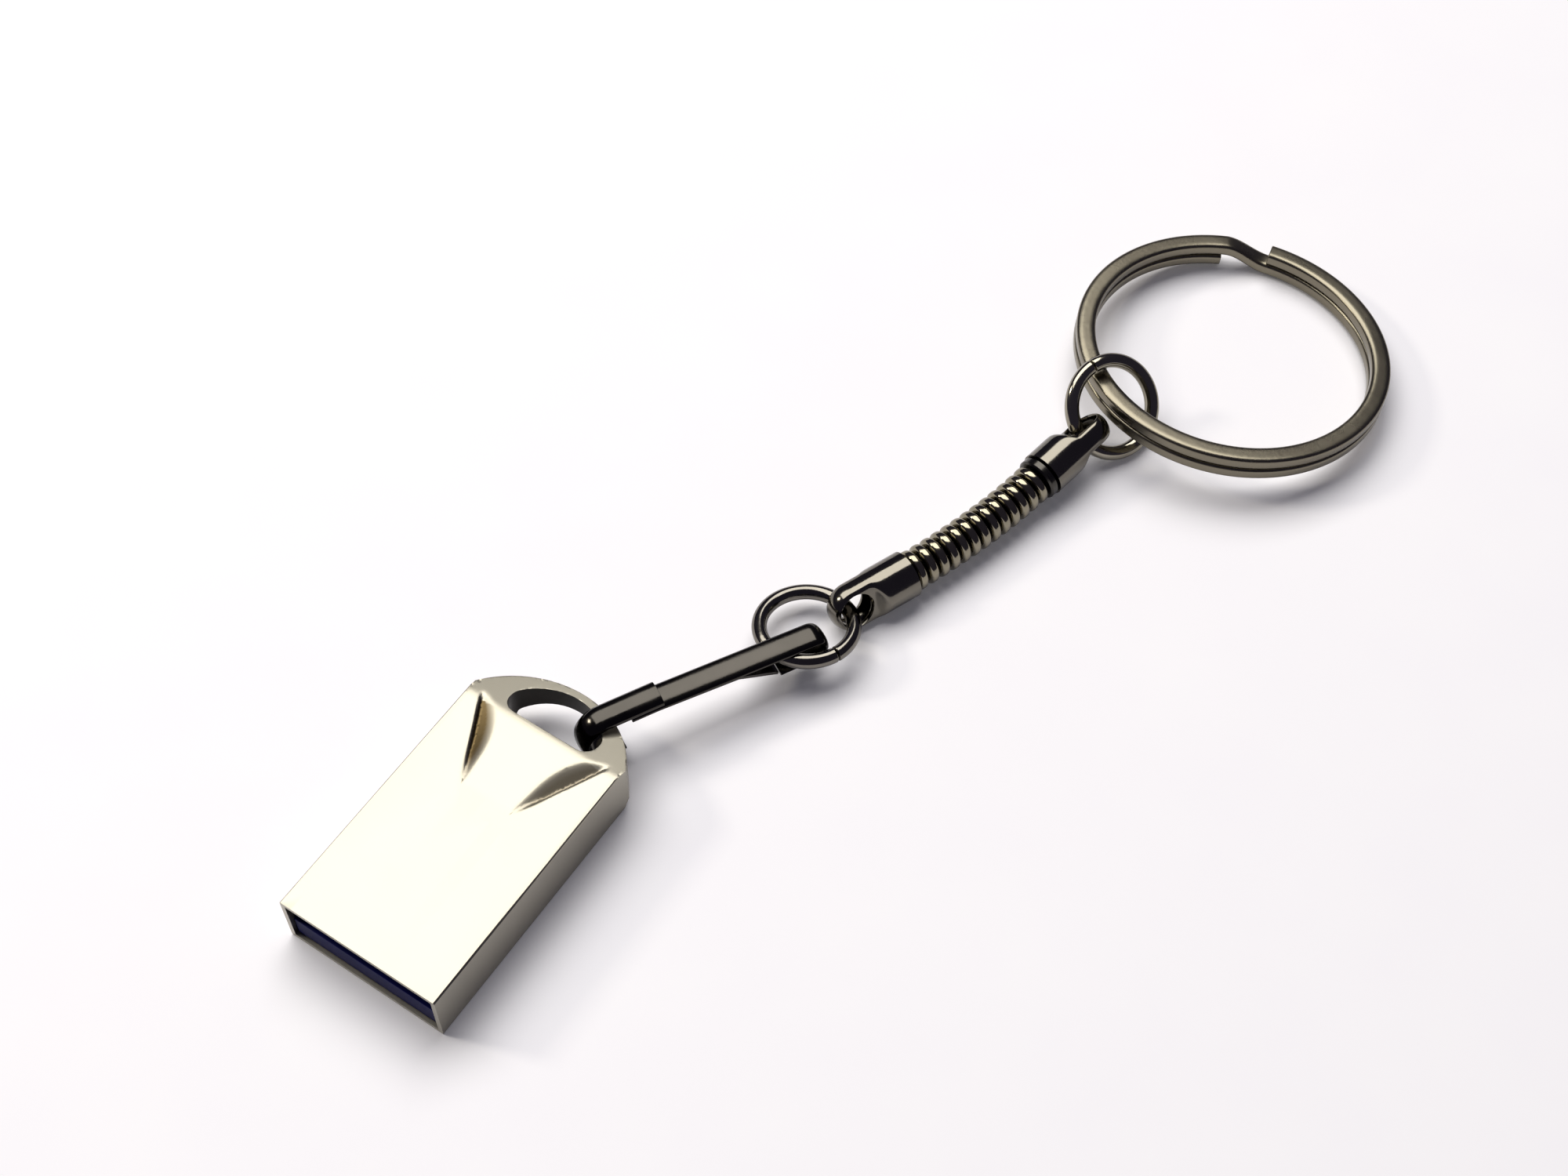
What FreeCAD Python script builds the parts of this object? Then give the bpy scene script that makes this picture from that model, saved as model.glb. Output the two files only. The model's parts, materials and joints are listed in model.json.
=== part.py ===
import FreeCAD, Part
import math
import os
import Sketcher

# USB flash drive on a key tether: a die-cast plug body with a tail slot, a spring-gated strip
# hook, a jump ring, a snake chain between two eye caps, a second jump ring and a split ring.
# Frame: +Z up, the drive's flat underside on Z 0 with its middle at the origin, plug mouth
# towards +X, the tether leaving the tail towards -X.

doc = FreeCAD.newDocument("flash_drive")
sheet = doc.addObject("Spreadsheet::Sheet", "sizes")

SIZES = [
    # drive body, millimetres
    ("plug_width", 12.1), ("plug_height", 4.5), ("side_length", 19.3), ("tail_radius", 7.0),
    ("side_wall", 0.36), ("face_wall", 0.34), ("cavity_depth", 17.4), ("edge_round", 0.15),
    ("slot_to_tail", 4.05), ("bar_width", 0.55), ("slot_arc", 4.0), ("slot_half", 3.5),
    ("slot_corner", 1.0), ("ridge_lead", 0.35), ("ridge_round", 2.0), ("tail_top", 3.25),
    ("tail_clear", 1.7), ("ramp_run", 1.4),
    ("crease_depth", 0.42), ("crease_lead", 6.2), ("crease_start", 1.95), ("crease_end", 5.2),
    ("crease_bulge", 1.3), ("crease_margin", -0.3), ("roof_lead", 0.5),
    # plug interior
    ("mouth_recess", 0.25), ("inner_clear", 0.05), ("tongue_top", 2.3), ("tray_floor", 0.85),
    ("tray_rail", 0.9), ("tray_lip", 0.8), ("tray_length", 12.0), ("board_thick", 0.8),
    ("board_clear", 0.03), ("board_length", 15.7),
    ("pad_pitch", 2.5), ("pad_inner", 2.0), ("pad_wide", 1.0), ("pad_long", 2.6), ("pad_thick", 0.1),
    ("pad_set", 0.5), ("spring_pitch", 2.0), ("spring_wide", 0.7), ("spring_long", 2.4),
    ("spring_rise", 0.55), ("spring_thick", 0.15), ("spring_set", 5.4),
    ("solder_gap", 0.02), ("control_side", 3.6), ("control_thick", 0.75), ("flash_long", 2.9),
    ("flash_wide", 9.4), ("flash_thick", 0.7), ("crystal_long", 2.0), ("crystal_wide", 1.6),
    ("crystal_thick", 0.5), ("chip_long", 1.0), ("chip_wide", 0.5), ("chip_thick", 0.4),
    ("stop_thick", 1.6),
    # strip hook and its leaf gate
    ("hook_heading", 151.2), ("hook_seat", 157.0), ("hook_width", 1.9), ("hook_thick", 0.55),
    ("hook_room", 0.647), ("hook_drop", 0.033), ("hook_inset", 0.12), ("hook_tip", 1.0), ("hook_step", 3.9),
    ("eye_thick", 0.38), ("eye_lap", 2.3), ("eye_reach", 15.0), ("eye_inner", 0.75),
    ("eye_height", 2.3), ("eye_return", 2.6), ("gate_thick", 0.33), ("gate_width", 1.3),
    ("gate_gap", 0.06), ("gate_tip", 2.1), ("gate_play", 0.09), ("gate_knee", 9.4),
    ("gate_knee_play", 0.35),
    # rings
    ("jump_mean", 3.2), ("jump_wire", 0.525), ("jump_gap", 0.12),
    ("jump_cross", 12.67), ("jump_skew", 26.6), ("jump_tilt", 10.0), ("jump_lean", 214.0),
    ("jump_to_cap", 155.0), ("upper_mean", 3.3), ("upper_tilt", 44.0), ("upper_lean", 68.0), ("upper_arm", -5.0),
    ("rest_clear", 0.03),
    ("split_inner", 10.1), ("split_wide", 1.4), ("split_high", 2.0), ("split_groove", 0.1),
    ("split_tilt", 5.95), ("split_lean", 169.4), ("split_hang", 0.7), ("split_toward", 155.2),
    # caps and snake chain
    ("cap_radius", 1.7), ("cap_length", 4.75), ("cap_eye", 1.25), ("cap_flat", 1.7),
    ("cap_flat_run", 1.3), ("cap_ramp", 1.3), ("cap_play", 0.35), ("upper_play", 0.42),
    ("lower_heading", 157.9), ("lower_roll", 20.0),
    ("link_pitch", 0.92), ("link_gap", 0.15), ("link_radius", 1.47), ("link_edge", 1.2),
    ("link_bore", 0.9), ("link_neck", 0.6), ("link_tail", 0.33), ("link_turn", 0.85), ("lift_turn", 0.8),
    ("link_deep", 0.48), ("collar_radius", 1.6), ("collar_long", 0.75), ("collar_gap", 0.02),
]
CREASE_FORM = [(0.0, 0.03), (0.12, 0.3), (0.25, 0.57), (0.4, 0.85), (0.56, 1.0), (0.72, 0.95),
               (0.85, 0.74), (0.94, 0.46), (1.0, 0.12)]
CREASE_OVERRUN = 0.3
LINK_COUNT = 13
LIFTED_LINKS = 5
SPRING_COUNT = 5

for row, (word, value) in enumerate(SIZES, start=1):
    sheet.set("A%d" % row, word)
    sheet.set("B%d" % row, "%g" % value)
    sheet.setAlias("B%d" % row, word)
doc.recompute()


def size(word):
    return float(sheet.get(word))


def bind(thing, prop, formula):
    thing.setExpression(prop, formula)


def ref(word):
    return "sizes." + word


def vec(x, y, z=0.0):
    return FreeCAD.Vector(x, y, z)


def plan(angle, length=1.0):
    turn = math.radians(angle)
    return vec(length * math.cos(turn), length * math.sin(turn))


# ---- where things lie, worked out along the tether ----

HALF_SIDE = size("side_length") / 2
MOUTH_X = HALF_SIDE
HALF_WIDTH = size("plug_width") / 2
TAIL_DROP = math.sqrt(size("tail_radius") ** 2 - HALF_WIDTH ** 2)
TAIL_CENTRE_X = -HALF_SIDE + TAIL_DROP
APEX_X = TAIL_CENTRE_X - size("tail_radius")
SLOT_FRONT_X = APEX_X + size("slot_to_tail")
SLOT_REAR_X = APEX_X + size("bar_width")
SLOT_ARC_X = SLOT_REAR_X + size("slot_arc")


def slot_reach(angle):
    """Distance from the tail's centre to the slot's rear wall along a plan angle."""
    shift = SLOT_ARC_X - TAIL_CENTRE_X
    cosine = math.cos(math.radians(angle))
    sine = math.sin(math.radians(angle))
    return shift * cosine + math.sqrt(size("slot_arc") ** 2 - (shift * sine) ** 2)


FACET_FALL = size("plug_height") - size("tail_top")
FACET_RUN = size("slot_to_tail") + size("ridge_lead")
BAR_TOP = size("plug_height") - FACET_FALL * (FACET_RUN - size("bar_width")) / FACET_RUN
HOOK_Z = (size("tail_clear") + BAR_TOP) / 2 - size("hook_drop")
HOOK_INNER = (BAR_TOP - size("tail_clear")) / 2 + size("hook_room")
BAR_MIDDLE = (slot_reach(size("hook_seat")) + size("tail_radius")) / 2 - size("hook_inset")
HOOK_AXIS = plan(size("hook_heading"))
HOOK_PIVOT = vec(TAIL_CENTRE_X, 0, HOOK_Z) + plan(size("hook_seat"), BAR_MIDDLE)


def lean_turn(tilt, lean):
    """Rotation that leans a ring's axis by tilt towards the plan angle lean."""
    return FreeCAD.Rotation(plan(lean + 90), tilt)


def on_ring(turn, angle, radius):
    return turn.multVec(plan(angle, radius))


def frame_of(origin, x_axis, z_axis):
    y_axis = z_axis.cross(x_axis)
    return FreeCAD.Placement(origin, FreeCAD.Rotation(x_axis, y_axis, z_axis, "ZXY"))


LOWER_TURN = lean_turn(size("jump_tilt"), size("jump_lean"))
LOWER_ARM = on_ring(LOWER_TURN, size("jump_to_cap"), size("jump_mean"))
LOWER_CENTRE = HOOK_PIVOT + HOOK_AXIS * size("jump_cross")
LOWER_CENTRE += plan(size("hook_heading") + size("jump_skew"), size("jump_mean"))
LOWER_CENTRE.z = size("cap_radius") - LOWER_ARM.z
LOWER_WIRE = LOWER_CENTRE + LOWER_ARM

CHAIN_AXIS = plan(size("lower_heading"))
CAP_EYE = LOWER_WIRE + CHAIN_AXIS * size("cap_play")
ROLL = math.radians(size("lower_roll"))
CAP_HOLE = plan(size("lower_heading") - 90, math.cos(ROLL)) + vec(0, 0, math.sin(ROLL))
LOWER_CAP = frame_of(CAP_EYE, CHAIN_AXIS, CAP_HOLE)



def course(heading, rise):
    """Unit direction along the tether from its plan heading and its rise."""
    return plan(heading, math.cos(math.radians(rise))) + vec(0, 0, math.sin(math.radians(rise)))


def upright(heading, rise):
    return course(heading, rise + 90)


LINKS = []
heading, rise = size("lower_heading"), 0.0
spot = CAP_EYE + CHAIN_AXIS * size("cap_length")
for number in range(LINK_COUNT):
    heading += size("link_turn")
    if number >= LINK_COUNT - LIFTED_LINKS:
        rise += size("lift_turn")
    LINKS.append(frame_of(spot, course(heading, rise), upright(heading, rise)))
    spot = spot + course(heading, rise) * size("link_pitch")
UPPER_AXIS = course(heading, rise)
UPPER_UP = upright(heading, rise)
UPPER_MOUTH = spot + UPPER_AXIS * (size("collar_long") + size("collar_gap"))
UPPER_EYE = UPPER_MOUTH + UPPER_AXIS * size("cap_length")

UPPER_TURN = lean_turn(size("upper_tilt"), size("upper_lean"))
UPPER_ARM = on_ring(UPPER_TURN, size("upper_arm"), size("upper_mean"))
UPPER_TANGENT = on_ring(UPPER_TURN, size("upper_arm") - 90, 1.0)
UPPER_CENTRE = UPPER_EYE - UPPER_AXIS * size("upper_play") - UPPER_ARM
UPPER_CENTRE.z = (size("upper_mean") * math.sin(math.radians(size("upper_tilt")))
                  + size("jump_wire") + size("rest_clear"))
UPPER_WIRE = UPPER_CENTRE + UPPER_ARM
UPPER_HOLE = UPPER_TANGENT - UPPER_AXIS * UPPER_TANGENT.dot(UPPER_AXIS)
UPPER_HOLE.normalize()
UPPER_CAP = frame_of(UPPER_EYE, UPPER_AXIS * -1, UPPER_HOLE)

SPLIT_TURN = lean_turn(size("split_tilt"), size("split_lean"))
SPLIT_OUTER = size("split_inner") + size("split_wide")
SPLIT_CENTRE = UPPER_CENTRE + plan(size("split_toward"), size("split_inner") + size("split_hang"))
SPLIT_CENTRE.z = (SPLIT_OUTER * math.sin(math.radians(size("split_tilt")))
                  + size("split_high") / 2 * math.cos(math.radians(size("split_tilt"))))

made = []


def keep(thing, label):
    thing.Label = label
    made.append(thing)
    return thing


def new_body(label):
    return keep(doc.addObject("PartDesign::Body", label + "_body"), label)


def plane_of(body, role):
    return next(item for item in body.Origin.OriginFeatures if item.Role == role)


def sketch_on(body, role, name, edges, offset=None):
    """A sketch on one of the body's own planes, holding the edges given."""
    sketch = body.newObject("Sketcher::SketchObject", name)
    sketch.AttachmentSupport = [(plane_of(body, role), "")]
    sketch.MapMode = "FlatFace"
    if offset is not None:
        sketch.AttachmentOffset = offset
    for edge in edges:
        sketch.addGeometry(edge, False)
    return sketch


def line(start, end):
    return Part.LineSegment(start, end)


def loop(points):
    return [line(a, b) for a, b in zip(points, points[1:] + points[:1])]


def arc_by(centre, radius, start, end):
    circle = Part.Circle(centre, vec(0, 0, 1), radius)
    return Part.ArcOfCircle(circle, math.radians(start), math.radians(end))


def extrude(body, kind, sketch, name, length, both=False, reverse=False):
    feature = body.newObject("PartDesign::" + kind, name)
    feature.Profile = sketch
    if length is None:
        feature.Type = "ThroughAll"
    else:
        bind(feature, "Length", length)
    feature.Midplane = both
    feature.Reversed = reverse
    doc.recompute()
    return feature


def cut_checked(body, sketch, name, length, both=False, reverse=False):
    """A pocket that must take metal away."""
    before = body.Shape.Volume
    feature = extrude(body, "Pocket", sketch, name, length, both, reverse)
    if feature.Shape.isNull() or not body.Shape.Volume < before - 1e-6:
        raise RuntimeError(name + " cuts nothing")
    return feature


# ---- drive shell: one zinc casting, plug shroud and tail loop together ----

def tail_outline():
    half, side = HALF_WIDTH, HALF_SIDE
    spread = math.degrees(math.asin(half / size("tail_radius")))
    tail = arc_by(vec(TAIL_CENTRE_X, 0), size("tail_radius"), 180 - spread, 180 + spread)
    return [line(vec(-side, half), vec(side, half)), line(vec(side, half), vec(side, -half)),
            line(vec(side, -half), vec(-side, -half)), tail]


def slot_outline():
    """D-shaped slot: straight front, arched rear, rounded ends."""
    corner, half = size("slot_corner"), size("slot_half")
    low = vec(SLOT_FRONT_X - corner, half - corner)
    reach = size("slot_arc") - corner
    high_y = min(low.y, reach)
    high = vec(SLOT_ARC_X - math.sqrt(reach ** 2 - high_y ** 2), high_y)
    high.x = min(high.x, low.x)
    bearing = math.degrees(math.atan2(high.y, high.x - SLOT_ARC_X))
    rear = arc_by(vec(SLOT_ARC_X, 0), size("slot_arc"), bearing, 360 - bearing)
    front = line(vec(SLOT_FRONT_X, -low.y), vec(SLOT_FRONT_X, low.y))
    edges = [rear, front]
    for side in (1, -1):
        start = (0, 90) if side > 0 else (270, 360)
        edges.append(arc_by(vec(low.x, side * low.y), corner, *start))
        turn = (90, bearing) if side > 0 else (360 - bearing, 270)
        edges.append(arc_by(vec(high.x, side * high.y), corner, *turn))
        if low.x - high.x > 1e-6:
            edges.append(line(vec(low.x, side * half), vec(high.x, side * half)))
    return edges


def crease_tool(side):
    """Dished crease: thin triangles, deepest along a straight outer edge, fading to a bowed inner one."""
    start = vec(SLOT_FRONT_X + size("crease_lead"), side * size("crease_start"), size("plug_height"))
    end = vec(SLOT_FRONT_X + size("crease_margin"), side * size("crease_end"), size("plug_height"))
    along = (end - start).normalize()
    inward = vec(-along.y, along.x) * side
    sections = []
    for share, fullness in CREASE_FORM:
        foot = start + (end - start) * share
        wide, deep = size("crease_bulge") * fullness, size("crease_depth") * fullness
        lip = vec(0, 0, deep * CREASE_OVERRUN)
        corners = [foot - vec(0, 0, deep), foot + lip,
                   foot + inward * (wide * (1 + CREASE_OVERRUN)) + lip]
        sections.append(Part.makePolygon(corners + corners[:1]))
    return Part.makeLoft(sections, True, False)


def round_long_edges(body, base):
    names = []
    for number, edge in enumerate(base.Shape.Edges, start=1):
        box = edge.BoundBox
        on_side = abs(abs(box.Center.y) - HALF_WIDTH) < 1e-6 and box.YLength < 1e-6
        if on_side and box.XLength > size("cavity_depth") and box.ZLength < 1e-6:
            names.append("Edge%d" % number)
    fillet = body.newObject("PartDesign::Fillet", "long_edges")
    fillet.Base = (base, names)
    bind(fillet, "Radius", ref("edge_round"))
    doc.recompute()


def facet_outline(ridge_x, rear):
    """Metal taken off above the tail facet, whose ridge turns over on a soft arc."""
    top, radius = size("plug_height"), size("ridge_round")
    slope = math.atan2(FACET_FALL, FACET_RUN)
    reach = radius * math.tan(slope / 2)
    start = vec(ridge_x + reach, top)
    turn_end = vec(ridge_x - reach * math.cos(slope), top - reach * math.sin(slope))
    low = vec(rear, top - math.tan(slope) * (ridge_x - rear))
    turn = arc_by(vec(start.x, top - radius), radius, 90, 90 + math.degrees(slope))
    return [turn, line(turn_end, low), line(low, vec(rear, top + 1)),
            line(vec(rear, top + 1), vec(start.x, top + 1)), line(vec(start.x, top + 1), start)]


PLAIN_ROOF_RUN = MOUTH_X - SLOT_FRONT_X - size("crease_lead") - size("roof_lead")
ROOF_Z = size("plug_height") - size("face_wall") - size("crease_depth")


def hollow_out(body, name, roof, depth):
    """Cut the cavity in from the mouth, up to a roof height."""
    half, floor = HALF_WIDTH - size("side_wall"), size("face_wall")
    inside = [vec(-half, floor), vec(half, floor), vec(half, roof), vec(-half, roof)]
    at_mouth = FreeCAD.Placement(vec(0, 0, MOUTH_X), FreeCAD.Rotation())
    mouth = sketch_on(body, "YZ_Plane", name + "_outline", loop(inside), at_mouth)
    cut_checked(body, mouth, name, "%.6f" % depth)


def make_shell():
    body = doc.addObject("PartDesign::Body", "shell_body")
    outline = sketch_on(body, "XY_Plane", "body_outline", tail_outline())
    block = extrude(body, "Pad", outline, "body_block", ref("plug_height"))
    round_long_edges(body, block)
    rear, front = APEX_X - 1, SLOT_FRONT_X
    facet_sketch = sketch_on(body, "XZ_Plane", "tail_facet",
                             facet_outline(front + size("ridge_lead"), rear))
    cut_checked(body, facet_sketch, "tail_slope", ref("plug_width") + " * 2", both=True)
    foot = [vec(front, 0), vec(front - size("ramp_run"), size("tail_clear")),
            vec(rear, size("tail_clear")), vec(rear, -1), vec(front, -1)]
    foot_sketch = sketch_on(body, "XZ_Plane", "tail_foot", loop(foot))
    cut_checked(body, foot_sketch, "tail_undercut", ref("plug_width") + " * 2", both=True)
    slot_sketch = sketch_on(body, "XY_Plane", "slot_outline", slot_outline())
    cut_checked(body, slot_sketch, "tail_slot", ref("plug_height") + " * 3", both=True)
    hollow_out(body, "plug_cavity", size("plug_height") - size("face_wall"), PLAIN_ROOF_RUN)
    hollow_out(body, "crease_cavity", ROOF_Z, size("cavity_depth"))
    tools = doc.addObject("Part::Feature", "crease_tools")
    tools.Shape = Part.makeCompound([crease_tool(side) for side in (1, -1)])
    keep(subtract("shell_cut", body, tools), "shell")


# ---- plug interior: tray, board, contacts and chips ----

def box(label, x, y, z, long, wide, high):
    """A box by its low corner, its three sizes given as formulas."""
    block = doc.addObject("Part::Box", label)
    for prop, formula in (("Length", long), ("Width", wide), ("Height", high)):
        bind(block, prop, formula)
    block.Placement.Base = vec(x, y, z)
    return block


def subtract(label, base, tool):
    cut = doc.addObject("Part::Cut", label)
    cut.Base = base
    cut.Tool = tool
    return cut


INSIDE_HALF = HALF_WIDTH - size("side_wall") - size("inner_clear")
FLOOR_Z = size("face_wall") + size("inner_clear")
BOARD_Z = FLOOR_Z + size("tray_floor")
BOARD_TOP = BOARD_Z + size("board_thick")
TRAY_FRONT = MOUTH_X - size("mouth_recess")
TRAY_REAR = TRAY_FRONT - size("tray_length")
BOARD_FRONT = TRAY_FRONT - size("tray_lip") - size("board_clear")
BOARD_REAR = BOARD_FRONT - size("board_length")
BOARD_HALF = INSIDE_HALF - size("tray_rail") - size("board_clear")
CAVITY_REAR = MOUTH_X - size("cavity_depth")
INSIDE_WIDE = "(sizes.plug_width - 2 * sizes.side_wall - 2 * sizes.inner_clear)"
BOARD_WIDE = "(%s - 2 * sizes.tray_rail - 2 * sizes.board_clear)" % INSIDE_WIDE


def make_plug_tray():
    block = box("tray_block", TRAY_REAR, -INSIDE_HALF, FLOOR_Z, ref("tray_length"), INSIDE_WIDE,
                "sizes.tongue_top - sizes.face_wall - sizes.inner_clear")
    recess = box("tray_recess", TRAY_REAR - 1, -INSIDE_HALF + size("tray_rail"), BOARD_Z,
                 "sizes.tray_length - sizes.tray_lip + 1", INSIDE_WIDE + " - 2 * sizes.tray_rail",
                 "sizes.tongue_top")
    keep(subtract("plug_tray_cut", block, recess), "plug_tray")


def make_board():
    keep(box("board_box", BOARD_REAR, -BOARD_HALF, BOARD_Z + size("board_clear"), ref("board_length"),
             BOARD_WIDE, "sizes.board_thick"), "circuit_board")


BOARD_FACE = BOARD_TOP + size("board_clear")
PAD_FRONT = BOARD_FRONT - size("pad_set")
PAD_ROW = [side * (size("pad_inner") / 2 + step * size("pad_pitch"))
           for side in (-1, 1) for step in (0, 1)]


def group(label, solids):
    """Like pieces as one node of separate solids."""
    node = doc.addObject("Part::Feature", label + "_group")
    node.Shape = Part.makeCompound(solids)
    return keep(node, label)


def plain_block(x, y, z, long, wide, high):
    """A block by the middle of its footprint and its low face."""
    return Part.makeBox(long, wide, high, vec(x - long / 2, y - wide / 2, z))


def make_power_pads():
    long, wide = size("pad_long"), size("pad_wide")
    pads = [plain_block(PAD_FRONT - long / 2, y, BOARD_FACE, long, wide, size("pad_thick")) for y in PAD_ROW]
    group("usb2_contacts", pads)


def spring_profile():
    """Side view of one bowed contact: foot, hump, toe."""
    long, rise, thick = size("spring_long"), size("spring_rise"), size("spring_thick")
    upper = [(0, thick), (0.25, thick), (0.62, rise), (0.82, rise), (1, thick)]
    lower = [(1, 0), (0.78, rise - thick), (0.66, rise - thick), (0.3, 0), (0, 0)]
    return [(share * long, height) for share, height in upper + lower]


def make_fast_contacts():
    wide, front = size("spring_wide"), BOARD_FRONT - size("spring_set")
    strips = []
    for number in range(SPRING_COUNT):
        y = (number - (SPRING_COUNT - 1) / 2) * size("spring_pitch") - wide / 2
        corners = [vec(front - x, y, BOARD_FACE + z) for x, z in spring_profile()]
        face = Part.Face(Part.makePolygon(corners + corners[:1]))
        strips.append(face.extrude(vec(0, wide, 0)))
    group("superspeed_contacts", strips)


CHIP_ROW_X = BOARD_FRONT - size("spring_set") - size("spring_long") - 1.6 - size("control_side") / 2
SOLDER_TOP = BOARD_FACE + size("solder_gap")


def make_chips():
    side = "sizes.control_side"
    keep(box("control_box", CHIP_ROW_X - size("control_side") / 2, -size("control_side") / 2 + 0.6,
             SOLDER_TOP, side, side, "sizes.control_thick"), "controller_chip")
    under_z = BOARD_Z + size("board_clear") - size("solder_gap") - size("flash_thick")
    free_rear = CAVITY_REAR + size("inner_clear") + size("stop_thick")
    flash = plain_block((free_rear + TRAY_REAR) / 2, 0, under_z, size("flash_long"),
                        min(size("flash_wide"), 2 * BOARD_HALF), size("flash_thick"))
    group("memory_chip", [flash])
    crystal_y = -size("control_side") / 2 - size("crystal_wide") / 2
    crystal = plain_block(CHIP_ROW_X + 0.4, crystal_y, SOLDER_TOP, size("crystal_long"),
                          size("crystal_wide"), size("crystal_thick"))
    group("crystal", [crystal])
    long, wide, high = size("chip_long"), size("chip_wide"), size("chip_thick")
    row_y = size("control_side") / 2 + 0.6 + wide
    caps = [plain_block(CHIP_ROW_X + shift * 1.3 * long, row_y + rank * 1.6 * wide, SOLDER_TOP, long, wide, high)
            for shift in (-1, 0, 1) for rank in (0, 1)]
    group("capacitors", caps)
    line_y = -BOARD_HALF + 0.8
    resistors = [plain_block(CHIP_ROW_X - 1.3 + shift * 1.3 * long, line_y, SOLDER_TOP, long, wide,
                             high * 0.75) for shift in (0, 1, 2)]
    group("resistors", resistors)


def make_board_stop():
    """Moulded block at the cavity's end that grips the board's tail."""
    clear = size("inner_clear")
    block = box("stop_block", CAVITY_REAR + clear, -INSIDE_HALF, FLOOR_Z, ref("stop_thick"), INSIDE_WIDE,
                "sizes.plug_height - 2 * sizes.face_wall - sizes.crease_depth - 2 * sizes.inner_clear")
    slit = box("stop_slit", BOARD_REAR - size("board_clear"), -BOARD_HALF - size("board_clear"), BOARD_Z,
               "sizes.stop_thick + 2", BOARD_WIDE + " + 2 * sizes.board_clear",
               "sizes.board_thick + 2 * sizes.board_clear")
    keep(subtract("board_stop_cut", block, slit), "board_stop")


# ---- strip hook: bent flat strip, its eye strip and the leaf gate ----

HOOK_PLACE = frame_of(HOOK_PIVOT, HOOK_AXIS, vec(0, 0, 1))
EYE_Z = size("eye_height") - HOOK_Z


def strip_body(label, edges, width="sizes.hook_width"):
    body = new_body(label)
    sketch = sketch_on(body, "XZ_Plane", label + "_side", edges)
    extrude(body, "Pad", sketch, label + "_strip", width, both=True)
    body.Placement = HOOK_PLACE
    return body


def make_hook_strip():
    inner = HOOK_INNER
    outer = inner + size("hook_thick")
    tip, step = size("hook_tip"), size("hook_step")
    middle = vec(0, 0)
    edges = [line(vec(0, inner), vec(step, inner)), line(vec(step, inner), vec(step, outer)),
             line(vec(step, outer), vec(0, outer)), arc_by(middle, outer, 90, 270),
             line(vec(0, -outer), vec(tip, -outer)), line(vec(tip, -outer), vec(tip, -inner)),
             line(vec(tip, -inner), vec(0, -inner)), arc_by(middle, inner, 90, 270)]
    strip_body("hook_strip", edges)


def make_eye_strip():
    inner = size("eye_inner")
    outer = inner + size("eye_thick")
    lap_top, lap_low = HOOK_INNER, HOOK_INNER - size("eye_thick")
    lap_x, back_x = size("hook_step") - size("eye_lap"), size("eye_reach") - size("eye_return")
    middle = vec(size("eye_reach"), EYE_Z)
    top_start, low_start = vec(size("hook_step"), lap_top), vec(size("hook_step"), lap_low)
    ends = []
    for start, radius in ((top_start, outer), (low_start, inner)):
        gap = start - middle
        bearing = math.degrees(math.atan2(gap.y, gap.x)) - math.degrees(math.acos(radius / gap.Length))
        ends.append((bearing, middle + plan(bearing, radius)))
    (top_bearing, top_end), (low_bearing, low_end) = ends
    edges = [line(vec(lap_x, lap_low), vec(lap_x, lap_top)), line(vec(lap_x, lap_top), top_start),
             line(top_start, top_end), arc_by(middle, outer, -90, top_bearing),
             line(middle + vec(0, -outer), vec(back_x, EYE_Z - outer)),
             line(vec(back_x, EYE_Z - outer), vec(back_x, EYE_Z - inner)),
             line(vec(back_x, EYE_Z - inner), middle + vec(0, -inner)),
             arc_by(middle, inner, -90, low_bearing), line(low_end, low_start),
             line(low_start, vec(lap_x, lap_low))]
    strip_body("eye_strip", edges)


GATE_ROOT_X = size("eye_reach") - size("eye_return") - size("gate_gap")
GATE_ROOT_Z = EYE_Z - size("eye_inner") - size("eye_thick") / 2


def strap_underside(reach):
    """Height of the eye strip's lower face between the step and the eye."""
    share = (reach - size("hook_step")) / (size("eye_reach") - size("hook_step"))
    start, end = HOOK_INNER - size("eye_thick"), EYE_Z + size("eye_inner")
    return start + max(share, 0.0) * (end - start)


def make_gate():
    """Leaf rising from the eye's return, then lying close under the strap."""
    half = size("gate_thick") / 2
    tip, knee = size("gate_tip"), size("gate_knee")
    tip_z = strap_underside(tip) - size("gate_play") - half
    knee_z = strap_underside(knee) - size("gate_knee_play") - half
    path = [vec(tip, tip_z), vec(knee, knee_z), vec(GATE_ROOT_X, GATE_ROOT_Z)]
    under = [point - vec(0, half) for point in path]
    over = [point + vec(0, half) for point in reversed(path)]
    strip_body("hook_gate", loop(under + over), "sizes.gate_width")


# ---- rings ----

def make_jump_ring(label, mean, centre, turn, gap_angle):
    """Round-wire ring with a fine butt gap."""
    ring = doc.addObject("Part::Torus", label + "_wire")
    bind(ring, "Radius1", ref(mean))
    bind(ring, "Radius2", ref("jump_wire"))
    ring.Placement = FreeCAD.Placement(centre, turn)
    saw = doc.addObject("Part::Box", label + "_gap")
    bind(saw, "Length", "4 * sizes.jump_wire")
    bind(saw, "Width", ref("jump_gap"))
    bind(saw, "Height", "4 * sizes.jump_wire")
    spin = turn.multiply(FreeCAD.Rotation(vec(0, 0, 1), gap_angle))
    corner = vec(size(mean) - 2 * size("jump_wire"), -size("jump_gap") / 2, -2 * size("jump_wire"))
    saw.Placement = FreeCAD.Placement(centre + spin.multVec(corner), spin)
    keep(subtract(label + "_cut", ring, saw), label)


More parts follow.
